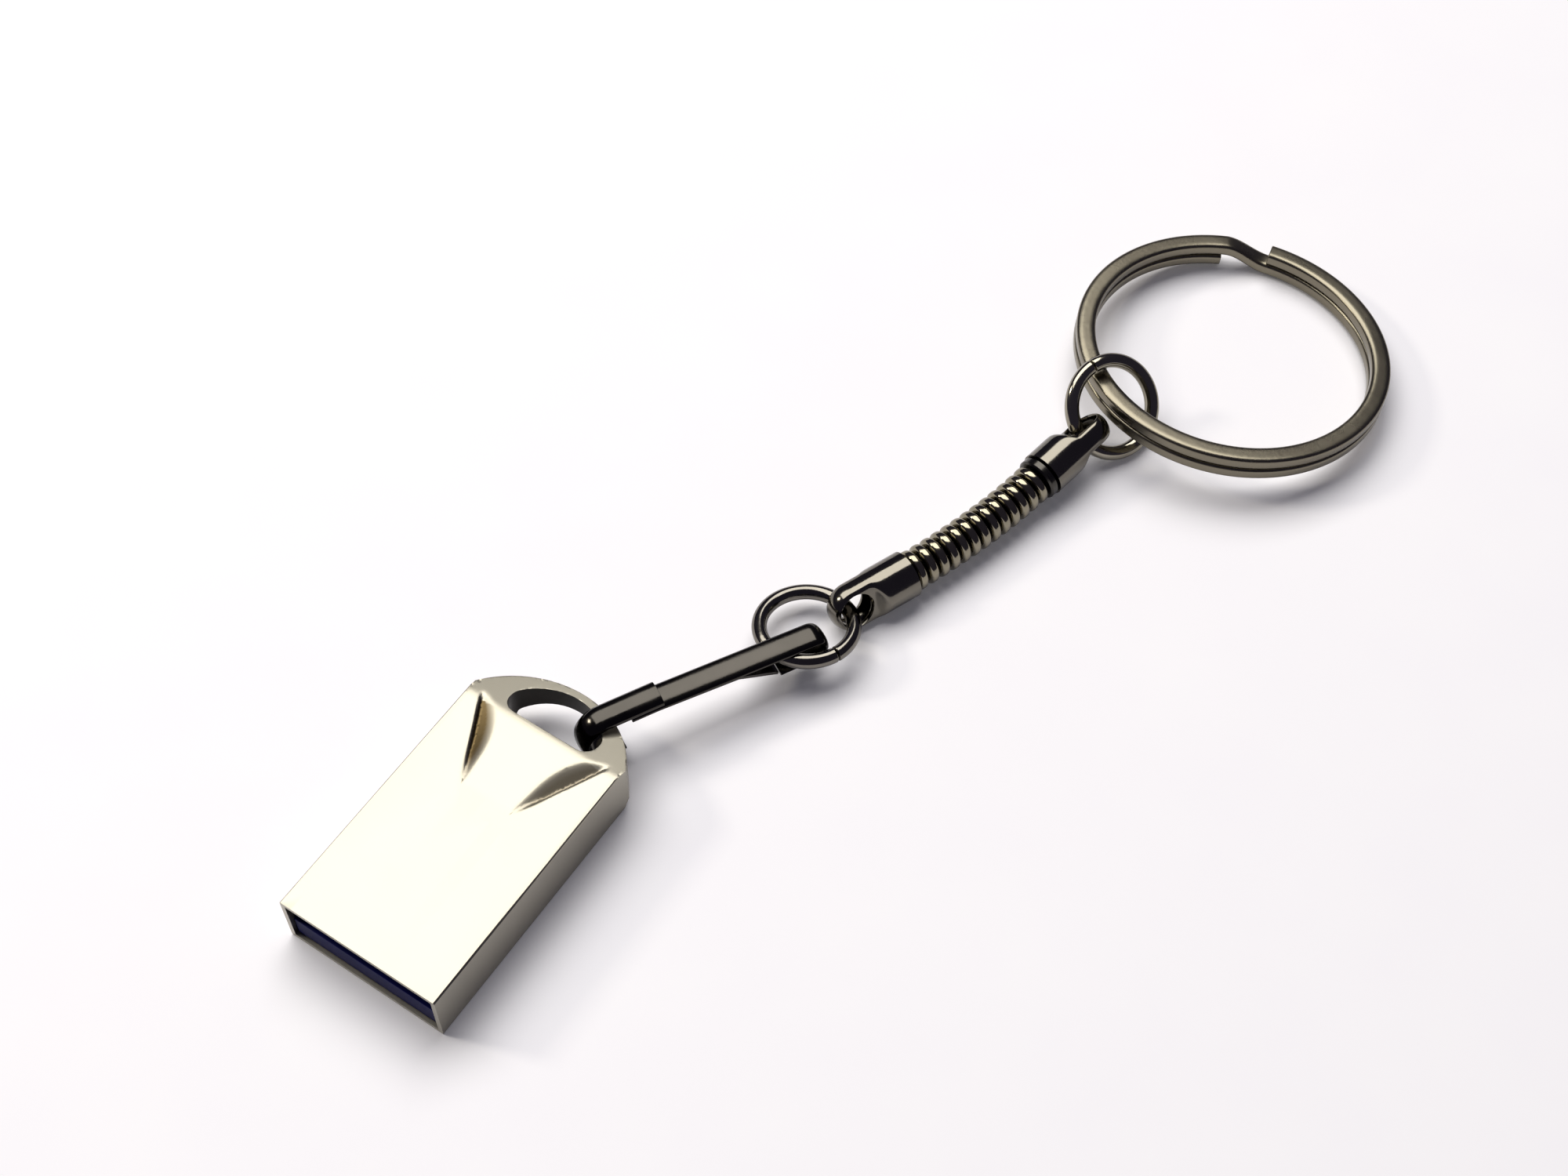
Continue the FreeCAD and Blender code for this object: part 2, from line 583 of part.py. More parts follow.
def make_split_ring():
    """Two turns of flat wire pressed together, the parting line cut as a fine groove."""
    inner, wide, high, groove = (size(word) for word in
                                 ("split_inner", "split_wide", "split_high", "split_groove"))
    body = new_body("split_ring")
    outer, half = inner + wide, high / 2
    bite = wide / 5
    profile = [vec(inner, -half), vec(outer, -half), vec(outer, -groove / 2), vec(outer - bite, 0),
               vec(outer, groove / 2), vec(outer, half), vec(inner, half), vec(inner, groove / 2),
               vec(inner + bite, 0), vec(inner, -groove / 2)]
    sketch = sketch_on(body, "XZ_Plane", "split_section", loop(profile))
    turned = body.newObject("PartDesign::Revolution", "split_turns")
    turned.Profile = sketch
    turned.ReferenceAxis = (sketch, ["V_Axis"])
    turned.Angle = 360
    doc.recompute()
    body.Placement = FreeCAD.Placement(SPLIT_CENTRE, SPLIT_TURN)


# ---- end caps and snake chain ----

def revolve_along(body, name, edges):
    """Turn a half profile about the piece's own X axis."""
    sketch = sketch_on(body, "XY_Plane", name + "_profile", edges)
    feature = body.newObject("PartDesign::Revolution", name)
    feature.Profile = sketch
    feature.ReferenceAxis = (sketch, ["H_Axis"])
    feature.Angle = 360
    doc.recompute()
    return feature


def make_cap(label, place, with_neck):
    """Drawn cap: round mouth over the chain, flattened eye at the other end."""
    radius, length, half_flat = size("cap_radius"), size("cap_length"), size("cap_flat") / 2
    body = new_body(label)
    half_gap = size("link_gap") / 2 if with_neck else 0.0
    mouth = length - half_gap
    edges = [line(vec(-radius, 0), vec(mouth, 0)), line(vec(mouth, 0), vec(mouth, radius)),
             line(vec(mouth, radius), vec(0, radius)), arc_by(vec(0, 0), radius, 90, 180)]
    revolve_along(body, label + "_barrel", edges)
    run, ramp = size("cap_flat_run"), size("cap_ramp")
    for side, name in ((1, "upper"), (-1, "lower")):
        corners = [vec(-radius - 1, side * half_flat), vec(run, side * half_flat),
                   vec(run + ramp, side * (radius + 0.1)), vec(-radius - 1, side * (radius + 0.1))]
        flat = sketch_on(body, "XZ_Plane", "%s_%s_flat" % (label, name), loop(corners))
        cut_checked(body, flat, "%s_%s_press" % (label, name), "sizes.cap_radius * 4", both=True)
    hole = sketch_on(body, "XY_Plane", label + "_eye_outline",
                     [Part.Circle(vec(0, 0), vec(0, 0, 1), size("cap_eye"))])
    number = hole.addConstraint(Sketcher.Constraint("Radius", 0, size("cap_eye")))
    hole.setExpression("Constraints[%d]" % number, ref("cap_eye"))
    cut_checked(body, hole, label + "_eye", "sizes.cap_radius * 4", both=True)
    at_mouth = FreeCAD.Placement(vec(0, 0, mouth), FreeCAD.Rotation())
    word = "link_neck" if with_neck else "link_bore"
    ring = sketch_on(body, "YZ_Plane", label + "_end", [Part.Circle(vec(0, 0), vec(0, 0, 1), size(word))],
                     at_mouth)
    if with_neck:
        extrude(body, "Pad", ring, label + "_neck", "sizes.link_tail + sizes.link_gap / 2")
    else:
        cut_checked(body, ring, label + "_bore", "sizes.link_deep + sizes.link_tail")
    body.Placement = place
    return body


def make_link(number, place):
    """Barrel band, hollow at its near end, its neck entering the next band."""
    label = "chain_link_%02d" % (number + 1)
    body = new_body(label)
    near, far = size("link_gap") / 2, size("link_pitch") - size("link_gap") / 2
    edge, bore, neck = size("link_edge"), size("link_bore"), size("link_neck")
    floor, reach = near + size("link_deep"), size("link_pitch") + size("link_tail")
    crown = vec((near + far) / 2, size("link_radius"))
    edges = [line(vec(floor, 0), vec(reach, 0)), line(vec(reach, 0), vec(reach, neck)),
             line(vec(reach, neck), vec(far, neck)), line(vec(far, neck), vec(far, edge)),
             Part.Arc(vec(far, edge), crown, vec(near, edge)), line(vec(near, edge), vec(near, bore)),
             line(vec(near, bore), vec(floor, bore)), line(vec(floor, bore), vec(floor, 0))]
    revolve_along(body, label + "_band", edges)
    body.Placement = place


def make_collar():
    """Plain ferrule between the last band and the upper cap."""
    body = new_body("chain_collar")
    near, far = size("link_gap") / 2, size("collar_long")
    outer, bore, chamfer = size("collar_radius"), size("link_bore"), 0.12
    edges = loop([vec(near, bore), vec(far, bore), vec(far, outer - chamfer), vec(far - chamfer, outer),
                  vec(near + chamfer, outer), vec(near, outer - chamfer)])
    revolve_along(body, "collar_ring", edges)
    body.Placement = frame_of(UPPER_MOUTH - UPPER_AXIS * (size("collar_long") + size("collar_gap")),
                              UPPER_AXIS, UPPER_UP)


make_shell()
make_plug_tray()
make_board()
make_power_pads()
make_fast_contacts()
make_chips()
make_board_stop()
make_hook_strip()
make_eye_strip()
make_gate()
make_jump_ring("lower_jump_ring", "jump_mean", LOWER_CENTRE, LOWER_TURN, 70.0)
make_cap("lower_end_cap", LOWER_CAP, True)
for index, place in enumerate(LINKS):
    make_link(index, place)
make_collar()
make_cap("upper_end_cap", UPPER_CAP, False)
make_jump_ring("upper_jump_ring", "upper_mean", UPPER_CENTRE, UPPER_TURN, 253.0)
make_split_ring()
doc.recompute()

for thing in doc.Objects:
    if "Invalid" in thing.State or "Error" in thing.State:
        raise RuntimeError("%s failed: %s" % (thing.Name, thing.State))

os.makedirs("parts", exist_ok=True)
for thing in made:
    shape = thing.Shape
    if shape.isNull() or not shape.isValid() or not shape.Solids:
        raise RuntimeError(thing.Label + " has no valid solid")
    shape.exportStep(os.path.join("parts", thing.Label + ".step"))
    print("%-22s %d solid(s) %9.3f mm3" % (thing.Label, len(shape.Solids), shape.Volume))
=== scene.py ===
import json
import math

import bmesh
import bpy
from mathutils import Matrix, Vector
from mathutils.bvhtree import BVHTree


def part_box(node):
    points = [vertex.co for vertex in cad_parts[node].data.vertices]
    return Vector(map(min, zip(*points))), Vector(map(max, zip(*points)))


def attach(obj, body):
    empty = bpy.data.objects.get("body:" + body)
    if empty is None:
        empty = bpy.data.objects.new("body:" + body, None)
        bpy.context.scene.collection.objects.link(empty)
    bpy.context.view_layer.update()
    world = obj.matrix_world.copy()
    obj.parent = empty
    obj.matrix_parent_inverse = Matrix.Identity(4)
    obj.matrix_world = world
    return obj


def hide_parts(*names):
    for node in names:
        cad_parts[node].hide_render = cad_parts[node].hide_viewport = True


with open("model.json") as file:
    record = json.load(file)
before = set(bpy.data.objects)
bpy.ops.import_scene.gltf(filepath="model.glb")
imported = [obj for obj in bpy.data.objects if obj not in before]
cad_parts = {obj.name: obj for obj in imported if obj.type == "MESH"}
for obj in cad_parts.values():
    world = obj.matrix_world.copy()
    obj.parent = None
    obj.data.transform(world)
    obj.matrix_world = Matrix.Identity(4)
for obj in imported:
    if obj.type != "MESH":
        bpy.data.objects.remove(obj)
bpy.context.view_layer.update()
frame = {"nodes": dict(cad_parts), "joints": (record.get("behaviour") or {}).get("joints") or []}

joints = {joint["name"]: joint for joint in frame["joints"]}


# ---------------------------------------------------------------------------
# Drive body. One die-cast zinc shell with a D slot through its arched tail. It
# is blasted with fine beads, then nickel plated: a silky skin with a warm tint
# that spreads a light into a broad glow. Its sharp rims are broken by a hair.
# ---------------------------------------------------------------------------

def linear(code):
    """An sRGB hex colour as linear red, green, blue and alpha."""
    parts = [int(code[i:i + 2], 16) / 255 for i in (1, 3, 5)]
    return [*(p / 12.92 if p <= 0.04045 else ((p + 0.055) / 1.055) ** 2.4 for p in parts), 1.0]


def add(tree, kind, inputs=(), **settings):
    """Adds a node; inputs gives each socket a value, or the output that feeds it."""
    made = tree.nodes.new(kind)
    for name, value in settings.items():
        setattr(made, name, value)
    for socket, value in dict(inputs).items():
        if isinstance(value, bpy.types.NodeSocket):
            tree.links.new(value, made.inputs[socket])
        else:
            made.inputs[socket].default_value = value
    return made


def new_finish(name, **values):
    """A material and its tree and shader; values set the shader's sockets."""
    finish = bpy.data.materials.new(name)
    finish.use_nodes = True
    shader = finish.node_tree.nodes["Principled BSDF"]
    for socket, value in values.items():
        shader.inputs[socket.replace("_", " ")].default_value = value
    return finish, finish.node_tree, shader


def per_mm(millimetres):
    """Texture scale that repeats once in so many millimetres of Object coordinates."""
    return 1000.0 / millimetres


def soften(mesh, crease_angle):
    """Smooth shading that breaks only at edges sharper than the angle."""
    work = bmesh.new()
    work.from_mesh(mesh)
    limit = math.radians(crease_angle)
    for face in work.faces:
        face.smooth = True
    for edge in work.edges:
        edge.smooth = len(edge.link_faces) == 2 and edge.calc_face_angle(0.0) < limit
    work.to_mesh(mesh)
    work.free()


def placed(name, data):
    """A new object in the scene that holds a mesh, a lamp or a camera."""
    made = bpy.data.objects.new(name, data)
    bpy.context.scene.collection.objects.link(made)
    return made


def cad_copy(node, name, crease_angle=28.0):
    """A welded, smooth-shaded copy of a CAD node, to finish as its own piece."""
    mesh = frame["nodes"][node].data.copy()
    mesh.name = name
    work = bmesh.new()
    work.from_mesh(mesh)
    bmesh.ops.remove_doubles(work, verts=work.verts, dist=2e-6)
    bmesh.ops.dissolve_limit(work, angle_limit=math.radians(0.3), verts=work.verts,
                             edges=work.edges)
    work.to_mesh(mesh)
    work.free()
    soften(mesh, crease_angle)
    return placed(name, mesh)


def dress(piece, finish, body, slot, *nodes):
    """Gives a piece its finish and its body and hides the CAD nodes it stands for; the slot is not
    used.
    """
    piece.data.materials.clear()
    piece.data.materials.append(finish)
    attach(piece, body)
    if nodes:
        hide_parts(*nodes)


satin_nickel, tree, shader = new_finish("satin_nickel_on_blasted_zinc", Metallic=1.0)
place = add(tree, "ShaderNodeTexCoord").outputs["Object"]
cloud = add(tree, "ShaderNodeTexNoise", {"Vector": place, "Scale": per_mm(5.0), "Detail": 2.0})
plate = add(tree, "ShaderNodeMix", {"Factor": cloud.outputs["Fac"], 6: linear("#a09b8d"),
                                    7: linear("#a7a295")}, data_type="RGBA")
# Painted shade: the faces of the slot's bore are painted nearly black, standing in for the shade
# deep in the slot.
bore_shade = add(tree, "ShaderNodeAttribute", attribute_name="slot_bore_shade").outputs["Fac"]
plate_and_painted_shade = add(tree, "ShaderNodeMix", {"Factor": bore_shade, 6: plate.outputs[2],
                                          7: linear("#33302d")}, data_type="RGBA")
# Painted shade: the creases' floors are painted dark brown, more where they lie deeper, standing in
# for the shade and dark reflections in them.
hollow = add(tree, "ShaderNodeAttribute", attribute_name="crease_depth").outputs["Fac"]
plate_and_painted_shade = add(tree, "ShaderNodeMix", {"Factor": hollow, 6: plate_and_painted_shade.outputs[2],
                                          7: linear("#5b4d34")}, data_type="RGBA")
tree.links.new(plate_and_painted_shade.outputs[2], shader.inputs["Base Color"])
# Bead marks about 0.09 mm across: they sparkle a little and blur every reflection.
beads = add(tree, "ShaderNodeTexNoise", {"Vector": place, "Scale": per_mm(0.09), "Detail": 1.0})
relief = add(tree, "ShaderNodeBump", {"Height": beads.outputs["Fac"], "Strength": 0.25,
                                      "Distance": 0.00001})
tree.links.new(relief.outputs["Normal"], shader.inputs["Normal"])
rough = add(tree, "ShaderNodeMapRange", {"Value": cloud.outputs["Fac"], "To Min": 0.31,
                                         "To Max": 0.39})
tree.links.new(rough.outputs["Result"], shader.inputs["Roughness"])

TAIL_END = -13.2           # millimetres along the drive, as are the sizes below
TAIL_START = -1.8
HALF_BODY = 6.2
TOP = 4.5                  # height of the flat top
SLOT_FRONT = -8.9
SLOT_MIDDLE = (-10.6, 0.0, 0.0)
SLOT_REACH = 4.2
SLOT_HALF = 3.7            # half the slot's breadth at its front
SLOT_LEVEL = 2.9           # height inside the slot's bore
CREASE_RIDGE = -8.7        # the creases end in front of it
CREASE_LOW = 3.9
CREASE_HIGH = 4.49
CREASE_OUTER = 5.9         # they keep clear of the side rims
CREASE_FULL_SHADE = 0.2          # depth at which the painted shade is full
THIN_CREASE_SHADE = 0.6            # share of the painted shade that the crease on the hook's side has
TAIL_GRID = 0.14
CUT_WELD = 0.0001
GRID_WELD = 0.004
BLAST_REACH = 0.26         # how far the blasting rounds a ridge or crease
BLAST_RINGS = ((0.25, 1.0), (0.55, 0.8), (0.85, 0.45), (1.0, 0.2))    # share of it, weight
BLAST_PAIRS = 6
WALL_KEPT = 0.2            # height step that the blasting leaves crisp
RIM_ROUND = 0.07
RIM_STUB = 0.1
RIM_ANGLE = 30.0           # degrees, as are the three below: where shading breaks
BLASTED_BREAK = 38.0
PLAIN_BREAK = 24.0
SLIVER_BREAK = 1.5         # where a broad face meets a far smaller one
BROAD_FACE = 0.06          # square millimetres
SLIVER_SHARE = 0.15
LEVEL_FACE = 0.9           # share of a face's normal that points up
STEEP_FACE = 0.25
BORE_FACE = 0.5


def in_crease(face):
    """Whether a face lies in a crease: below the flat top, clear of the rims and the slot."""
    low = min(vert.co.z for vert in face.verts)
    reach = max(abs(vert.co.y) for vert in face.verts)
    middle = face.calc_center_median()
    return (low > CREASE_LOW / 1000 and middle.z < CREASE_HIGH / 1000
            and reach < CREASE_OUTER / 1000
            and (abs(middle.y) > SLOT_HALF / 1000 or middle.x > SLOT_FRONT / 1000))


def upper_skin(work):
    """Faces of the upper skin: they look up and lie above the slot's mid height."""
    return [face for face in work.faces
            if (face.normal.z > LEVEL_FACE and face.calc_center_median().z > SLOT_LEVEL / 1000)
            or (face.normal.z > STEEP_FACE and in_crease(face))]


def crease_walls(work):
    """Steep faces inside the creases."""
    return [face for face in work.faces
            if abs(face.normal.z) <= STEEP_FACE and in_crease(face)]


def sharp_rims(work):
    """Every sharp arris of the casting, creases apart."""
    walls = set(crease_walls(work))
    return [edge for edge in work.edges
            if edge.is_manifold and edge.calc_face_angle(0.0) > math.radians(RIM_ANGLE)
            and not any(face in walls for face in edge.link_faces)]


def break_rims(work):
    """Breaks the sharp arrises with a small round, once their stubs of edges are merged."""
    ends = dict.fromkeys(vert for edge in sharp_rims(work) for vert in edge.verts)
    bmesh.ops.remove_doubles(work, verts=list(ends), dist=RIM_STUB / 1000)
    bmesh.ops.bevel(work, geom=sharp_rims(work), offset=RIM_ROUND / 1000, segments=2,
                    profile=0.6, affect="EDGES", clamp_overlap=True)


def blast(mesh):
    """Rounds the upper skin's creases and tail ridge as blasting does, rims left crisp."""
    work = bmesh.new()
    work.from_mesh(mesh)
    break_rims(work)
    skin = BVHTree.FromBMesh(work)
    bmesh.ops.triangulate(work, faces=upper_skin(work))
    cuts = [((TAIL_END + TAIL_GRID * k, 0, 0), (1, 0, 0))
            for k in range(int((TAIL_START - TAIL_END) / TAIL_GRID) + 1)]
    cuts += [((0, -HALF_BODY + TAIL_GRID * k, 0), (0, 1, 0))
             for k in range(int(2 * HALF_BODY / TAIL_GRID) + 1)]
    for spot, normal in cuts:
        tail = [face for face in upper_skin(work)
                if min(vert.co.x for vert in face.verts) < TAIL_START / 1000]
        geometry = dict.fromkeys([*tail, *(edge for face in tail for edge in face.edges),
                                  *(vert for face in tail for vert in face.verts)])
        bmesh.ops.bisect_plane(work, geom=list(geometry), plane_co=Vector(spot) / 1000,
                               plane_no=normal, dist=CUT_WELD / 1000)
    bmesh.ops.remove_doubles(work, verts=work.verts, dist=GRID_WELD / 1000)
    tail = set(upper_skin(work)) | set(crease_walls(work))
    moved = {vert: rounded_height(skin, vert.co) for vert in work.verts
             if vert.link_faces and vert.co.x < TAIL_START / 1000
             and all(face in tail for face in vert.link_faces)}
    for vert, height in moved.items():
        vert.co.z = height
    for edge in work.edges:
        limit = BLASTED_BREAK if any(vert in moved for vert in edge.verts) else PLAIN_BREAK
        areas = sorted(face.calc_area() for face in edge.link_faces)
        if areas[-1] > BROAD_FACE * 1e-6 and areas[0] < SLIVER_SHARE * areas[-1]:
            limit = SLIVER_BREAK
        edge.smooth = edge.is_manifold and edge.calc_face_angle(0.0) < math.radians(limit)
    bmesh.ops.remove_doubles(work, verts=list(moved), dist=GRID_WELD / 1000)
    work.to_mesh(mesh)
    work.free()


def rounded_height(skin, spot):
    """Mean height of the skin in a small disc; a pair of samples counts only if both land."""
    total, weights = 0.0, 0.0
    above, down = Vector((0, 0, 0.01)), Vector((0, 0, -1))
    for reach, weight in BLAST_RINGS:
        for k in range(BLAST_PAIRS):
            turn = math.pi * (k + reach) / BLAST_PAIRS
            offset = Vector((math.cos(turn), math.sin(turn), 0)) * reach * BLAST_REACH / 1000
            pair = [skin.ray_cast(spot + side * offset + above, down)[0] for side in (1, -1)]
            if None not in pair:
                step = max(abs(hit.z - spot.z) for hit in pair) * 1000 / WALL_KEPT
                share = weight * math.exp(-step * step)
                total += share * (pair[0].z + pair[1].z)
                weights += 2 * share
    return total / weights if weights > 0.01 else spot.z


def mark_bore_shade(mesh):
    """Marks the faces of the slot's bore for painted shade: steep, near the slot, turned to its
    middle.
    """
    mark = mesh.attributes.new("slot_bore_shade", "FLOAT", "FACE")
    for face in mesh.polygons:
        inward = (Vector(SLOT_MIDDLE) / 1000 - face.center) * Vector((1, 1, 0))
        steep = abs(face.normal.z) < BORE_FACE and face.center.x < SLOT_FRONT / 1000
        mark.data[face.index].value = float(steep and inward.length < SLOT_REACH / 1000
                                            and face.normal.dot(inward) > 0)


def mark_crease_shade(mesh):
    """Writes on each corner how deep it lies in a crease, 0 to 1, times its side's share: the
    weight of the painted shade.
    """
    mark = mesh.attributes.new("crease_depth", "FLOAT", "POINT")
    for vert in mesh.vertices:
        x, y, z = vert.co * 1000
        inside = CREASE_RIDGE < x < TAIL_START and abs(y) < CREASE_OUTER and z > CREASE_LOW
        share = 1.0 if y < 0 else THIN_CREASE_SHADE
        depth = min(max((TOP - z) / CREASE_FULL_SHADE, 0.0), 1.0)
        mark.data[vert.index].value = share * depth if inside else 0.0


body_shell = cad_copy("shell", "body_shell", crease_angle=PLAIN_BREAK)
blast(body_shell.data)
mark_bore_shade(body_shell.data)
mark_crease_shade(body_shell.data)
dress(body_shell, satin_nickel, "drive", "satin_zinc", "shell")


# ---------------------------------------------------------------------------
# Plug tray. Moulded dark blue nylon that fills the mouth under the board, a
# smooth plastic with a faint flow pattern.
# ---------------------------------------------------------------------------

def round_edges(piece, name, width, segments=2, angle=30.0):
    """Rounds a piece's edges that are sharper than the angle; the width is in millimetres."""
    edges = piece.modifiers.new(name, "BEVEL")
    edges.width = width / 1000
    edges.segments = segments
    edges.limit_method = "ANGLE"
    edges.angle_limit = math.radians(angle)


blue_nylon, tree, shader = new_finish(
    "moulded_blue_nylon", Roughness=0.5, IOR=1.53, Specular_IOR_Level=0.06)
place = add(tree, "ShaderNodeTexCoord").outputs["Object"]
flow = add(tree, "ShaderNodeTexNoise", {"Vector": place, "Scale": per_mm(1.4), "Detail": 3.0})
tint = add(tree, "ShaderNodeMix", {"Factor": flow.outputs["Fac"], 6: linear("#04083e"),
                                   7: linear("#080e56")}, data_type="RGBA")
tree.links.new(tint.outputs[2], shader.inputs["Base Color"])
skin = add(tree, "ShaderNodeBump", {"Height": flow.outputs["Fac"], "Strength": 0.3,
                                    "Distance": 0.00004})
tree.links.new(skin.outputs["Normal"], shader.inputs["Normal"])

tray = cad_copy("plug_tray", "blue_tray")
round_edges(tray, "moulded_edges", width=0.08)
dress(tray, blue_nylon, "drive", "blue_insulator", "plug_tray")


# ---------------------------------------------------------------------------
# Circuit board. Glass laminate with a green solder mask over copper tracks; the
# tracks stand up a little under the glossy mask and look paler.
# ---------------------------------------------------------------------------

solder_mask, tree, shader = new_finish(
    "green_solder_mask_on_glass_laminate", Roughness=0.28, IOR=1.5)
place = add(tree, "ShaderNodeTexCoord").outputs["Object"]
tracks = add(tree, "ShaderNodeTexBrick", {
    "Vector": place, "Scale": per_mm(1.0), "Mortar Size": 0.05, "Brick Width": 1.7,
    "Row Height": 0.42, "Color1": (1, 1, 1, 1), "Color2": (1, 1, 1, 1),
    "Mortar": (0, 0, 0, 1)}, offset=0.35)
mask = add(tree, "ShaderNodeMix", {"Factor": tracks.outputs["Fac"], 6: linear("#123f26"),
                                   7: linear("#2a6a3f")}, data_type="RGBA")
tree.links.new(mask.outputs[2], shader.inputs["Base Color"])
ridge = add(tree, "ShaderNodeBump", {"Height": tracks.outputs["Fac"], "Strength": 0.5,
                                     "Distance": 0.000035})
tree.links.new(ridge.outputs["Normal"], shader.inputs["Normal"])
board = cad_copy("circuit_board", "circuit_board_masked")
dress(board, solder_mask, "drive", "board_laminate", "circuit_board")


# ---------------------------------------------------------------------------
# Contacts. Four flat pads near the mouth and five sprung fingers behind them,
# stamped copper alloy with a gold flash, rubbed brighter where a socket wipes.
# ---------------------------------------------------------------------------

gold_flash, tree, shader = new_finish("gold_flash_on_copper_alloy", Metallic=1.0)
place = add(tree, "ShaderNodeTexCoord").outputs["Object"]
wipe = add(tree, "ShaderNodeMapping", {"Vector": place, "Scale": (0.12, 1.0, 1.0)})
rubs = add(tree, "ShaderNodeTexNoise", {"Vector": wipe.outputs["Vector"], "Scale": per_mm(0.12),
                                        "Detail": 3.0})
gold = add(tree, "ShaderNodeMix", {"Factor": rubs.outputs["Fac"], 6: linear("#c9a04a"),
                                   7: linear("#ecd08a")}, data_type="RGBA")
tree.links.new(gold.outputs[2], shader.inputs["Base Color"])
scored = add(tree, "ShaderNodeMapRange", {"Value": rubs.outputs["Fac"], "To Min": 0.16,
                                          "To Max": 0.34})
tree.links.new(scored.outputs["Result"], shader.inputs["Roughness"])
for node, name in (("usb2_contacts", "flat_pads"), ("superspeed_contacts", "sprung_fingers")):
    dress(cad_copy(node, name, 40.0), gold_flash, "drive", "contact_gold", node)


# ---------------------------------------------------------------------------
# Chips. Two moulded epoxy packages, matt black with a fine sandy skin, and one
# plated can for the crystal.
# ---------------------------------------------------------------------------

mould_epoxy, tree, shader = new_finish("black_moulding_epoxy", Roughness=0.62, IOR=1.55)
place = add(tree, "ShaderNodeTexCoord").outputs["Object"]
sand = add(tree, "ShaderNodeTexNoise", {"Vector": place, "Scale": per_mm(0.06), "Detail": 2.0})
grain = add(tree, "ShaderNodeBump", {"Height": sand.outputs["Fac"], "Strength": 0.5,
                                     "Distance": 0.00001})
tree.links.new(grain.outputs["Normal"], shader.inputs["Normal"])
shade = add(tree, "ShaderNodeMix", {"Factor": sand.outputs["Fac"], 6: linear("#161618"),
                                    7: linear("#262628")}, data_type="RGBA")
tree.links.new(shade.outputs[2], shader.inputs["Base Color"])

plated_can, tree, shader = new_finish("nickel_plated_can", Metallic=1.0, Roughness=0.3)
place = add(tree, "ShaderNodeTexCoord").outputs["Object"]
drawn = add(tree, "ShaderNodeTexNoise", {"Vector": place, "Scale": per_mm(0.3), "Detail": 2.0})
can_tint = add(tree, "ShaderNodeMix", {"Factor": drawn.outputs["Fac"], 6: linear("#a9a8a2"),
                                       7: linear("#cfcec8")}, data_type="RGBA")
tree.links.new(can_tint.outputs[2], shader.inputs["Base Color"])
for node, name, finish, slot in (
        ("controller_chip", "controller_package", mould_epoxy, "chip_epoxy"),
        ("memory_chip", "memory_package", mould_epoxy, "chip_epoxy"),
        ("crystal", "crystal_can", plated_can, "crystal_can")):
    piece = cad_copy(node, name)
    round_edges(piece, "mould_arris", width=0.06)
    dress(piece, finish, "drive", slot, node)


# ---------------------------------------------------------------------------
# Capacitors and resistors. Sintered ceramic chips whose two ends are dipped in
# tin; the middle is bare tan ceramic, or black glaze on the resistors.
# ---------------------------------------------------------------------------

DIPPED_END = 0.24          # share of a chip's length that the tin covers at each end
CHIP_CUTS = 7


def mark_ends(mesh):
    """Writes on each corner how far along its own chip it is, 0 to 1."""
    work = bmesh.new()
    work.from_mesh(mesh)
    bmesh.ops.triangulate(work, faces=work.faces)
    bmesh.ops.subdivide_edges(work, edges=work.edges, cuts=CHIP_CUTS, use_grid_fill=True)
    layer = work.verts.layers.float.new("along_chip")
    left = set(work.verts)
    while left:
        island, queue = [], [left.pop()]
        while queue:
            vert = queue.pop()
            island.append(vert)
            for edge in vert.link_edges:
                other = edge.other_vert(vert)
                if other in left:
                    left.discard(other)
                    queue.append(other)
        spans = [(max(vert.co[k] for vert in island) - min(vert.co[k] for vert in island), k)
                 for k in (0, 1)]
        length, axis = max(spans)
        start = min(vert.co[axis] for vert in island)
        for vert in island:
            vert[layer] = (vert.co[axis] - start) / length
    work.to_mesh(mesh)
    work.free()


for node, name, slot, dark, pale in (
        ("capacitors", "ceramic_capacitors", "capacitor_body", "#7b5c40", "#a07d59"),
        ("resistors", "glazed_resistors", "resistor_body", "#141416", "#26262a")):
    ceramic, tree, shader = new_finish("tinned_ceramic_" + name, IOR=1.6)
    place = add(tree, "ShaderNodeTexCoord").outputs["Object"]
    along = add(tree, "ShaderNodeAttribute", attribute_name="along_chip").outputs["Fac"]
    off = add(tree, "ShaderNodeMath", {0: along, 1: 0.5}, operation="SUBTRACT")
    span = add(tree, "ShaderNodeMath", {0: off.outputs[0]}, operation="ABSOLUTE")
    tin = add(tree, "ShaderNodeMath", {0: span.outputs[0], 1: 0.5 - DIPPED_END},
              operation="GREATER_THAN")
    grit = add(tree, "ShaderNodeTexNoise", {"Vector": place, "Scale": per_mm(0.08)})
    fired = add(tree, "ShaderNodeMix", {"Factor": grit.outputs["Fac"], 6: linear(dark),
                                        7: linear(pale)}, data_type="RGBA")
    coat = add(tree, "ShaderNodeMix", {"Factor": tin.outputs[0], 6: fired.outputs[2],
                                       7: linear("#c9c9c6")}, data_type="RGBA")
    tree.links.new(coat.outputs[2], shader.inputs["Base Color"])
    tree.links.new(tin.outputs[0], shader.inputs["Metallic"])
    gloss = add(tree, "ShaderNodeMapRange", {"Value": grit.outputs["Fac"], "To Min": 0.32,
                                             "To Max": 0.5})
    tree.links.new(gloss.outputs["Result"], shader.inputs["Roughness"])
    piece = cad_copy(node, name)
    mark_ends(piece.data)
    dress(piece, ceramic, "drive", slot, node)


# ---------------------------------------------------------------------------
# Board stop. A moulded black clip across the blind end of the cavity; it holds
# the board's rear edge in its slit.
# ---------------------------------------------------------------------------

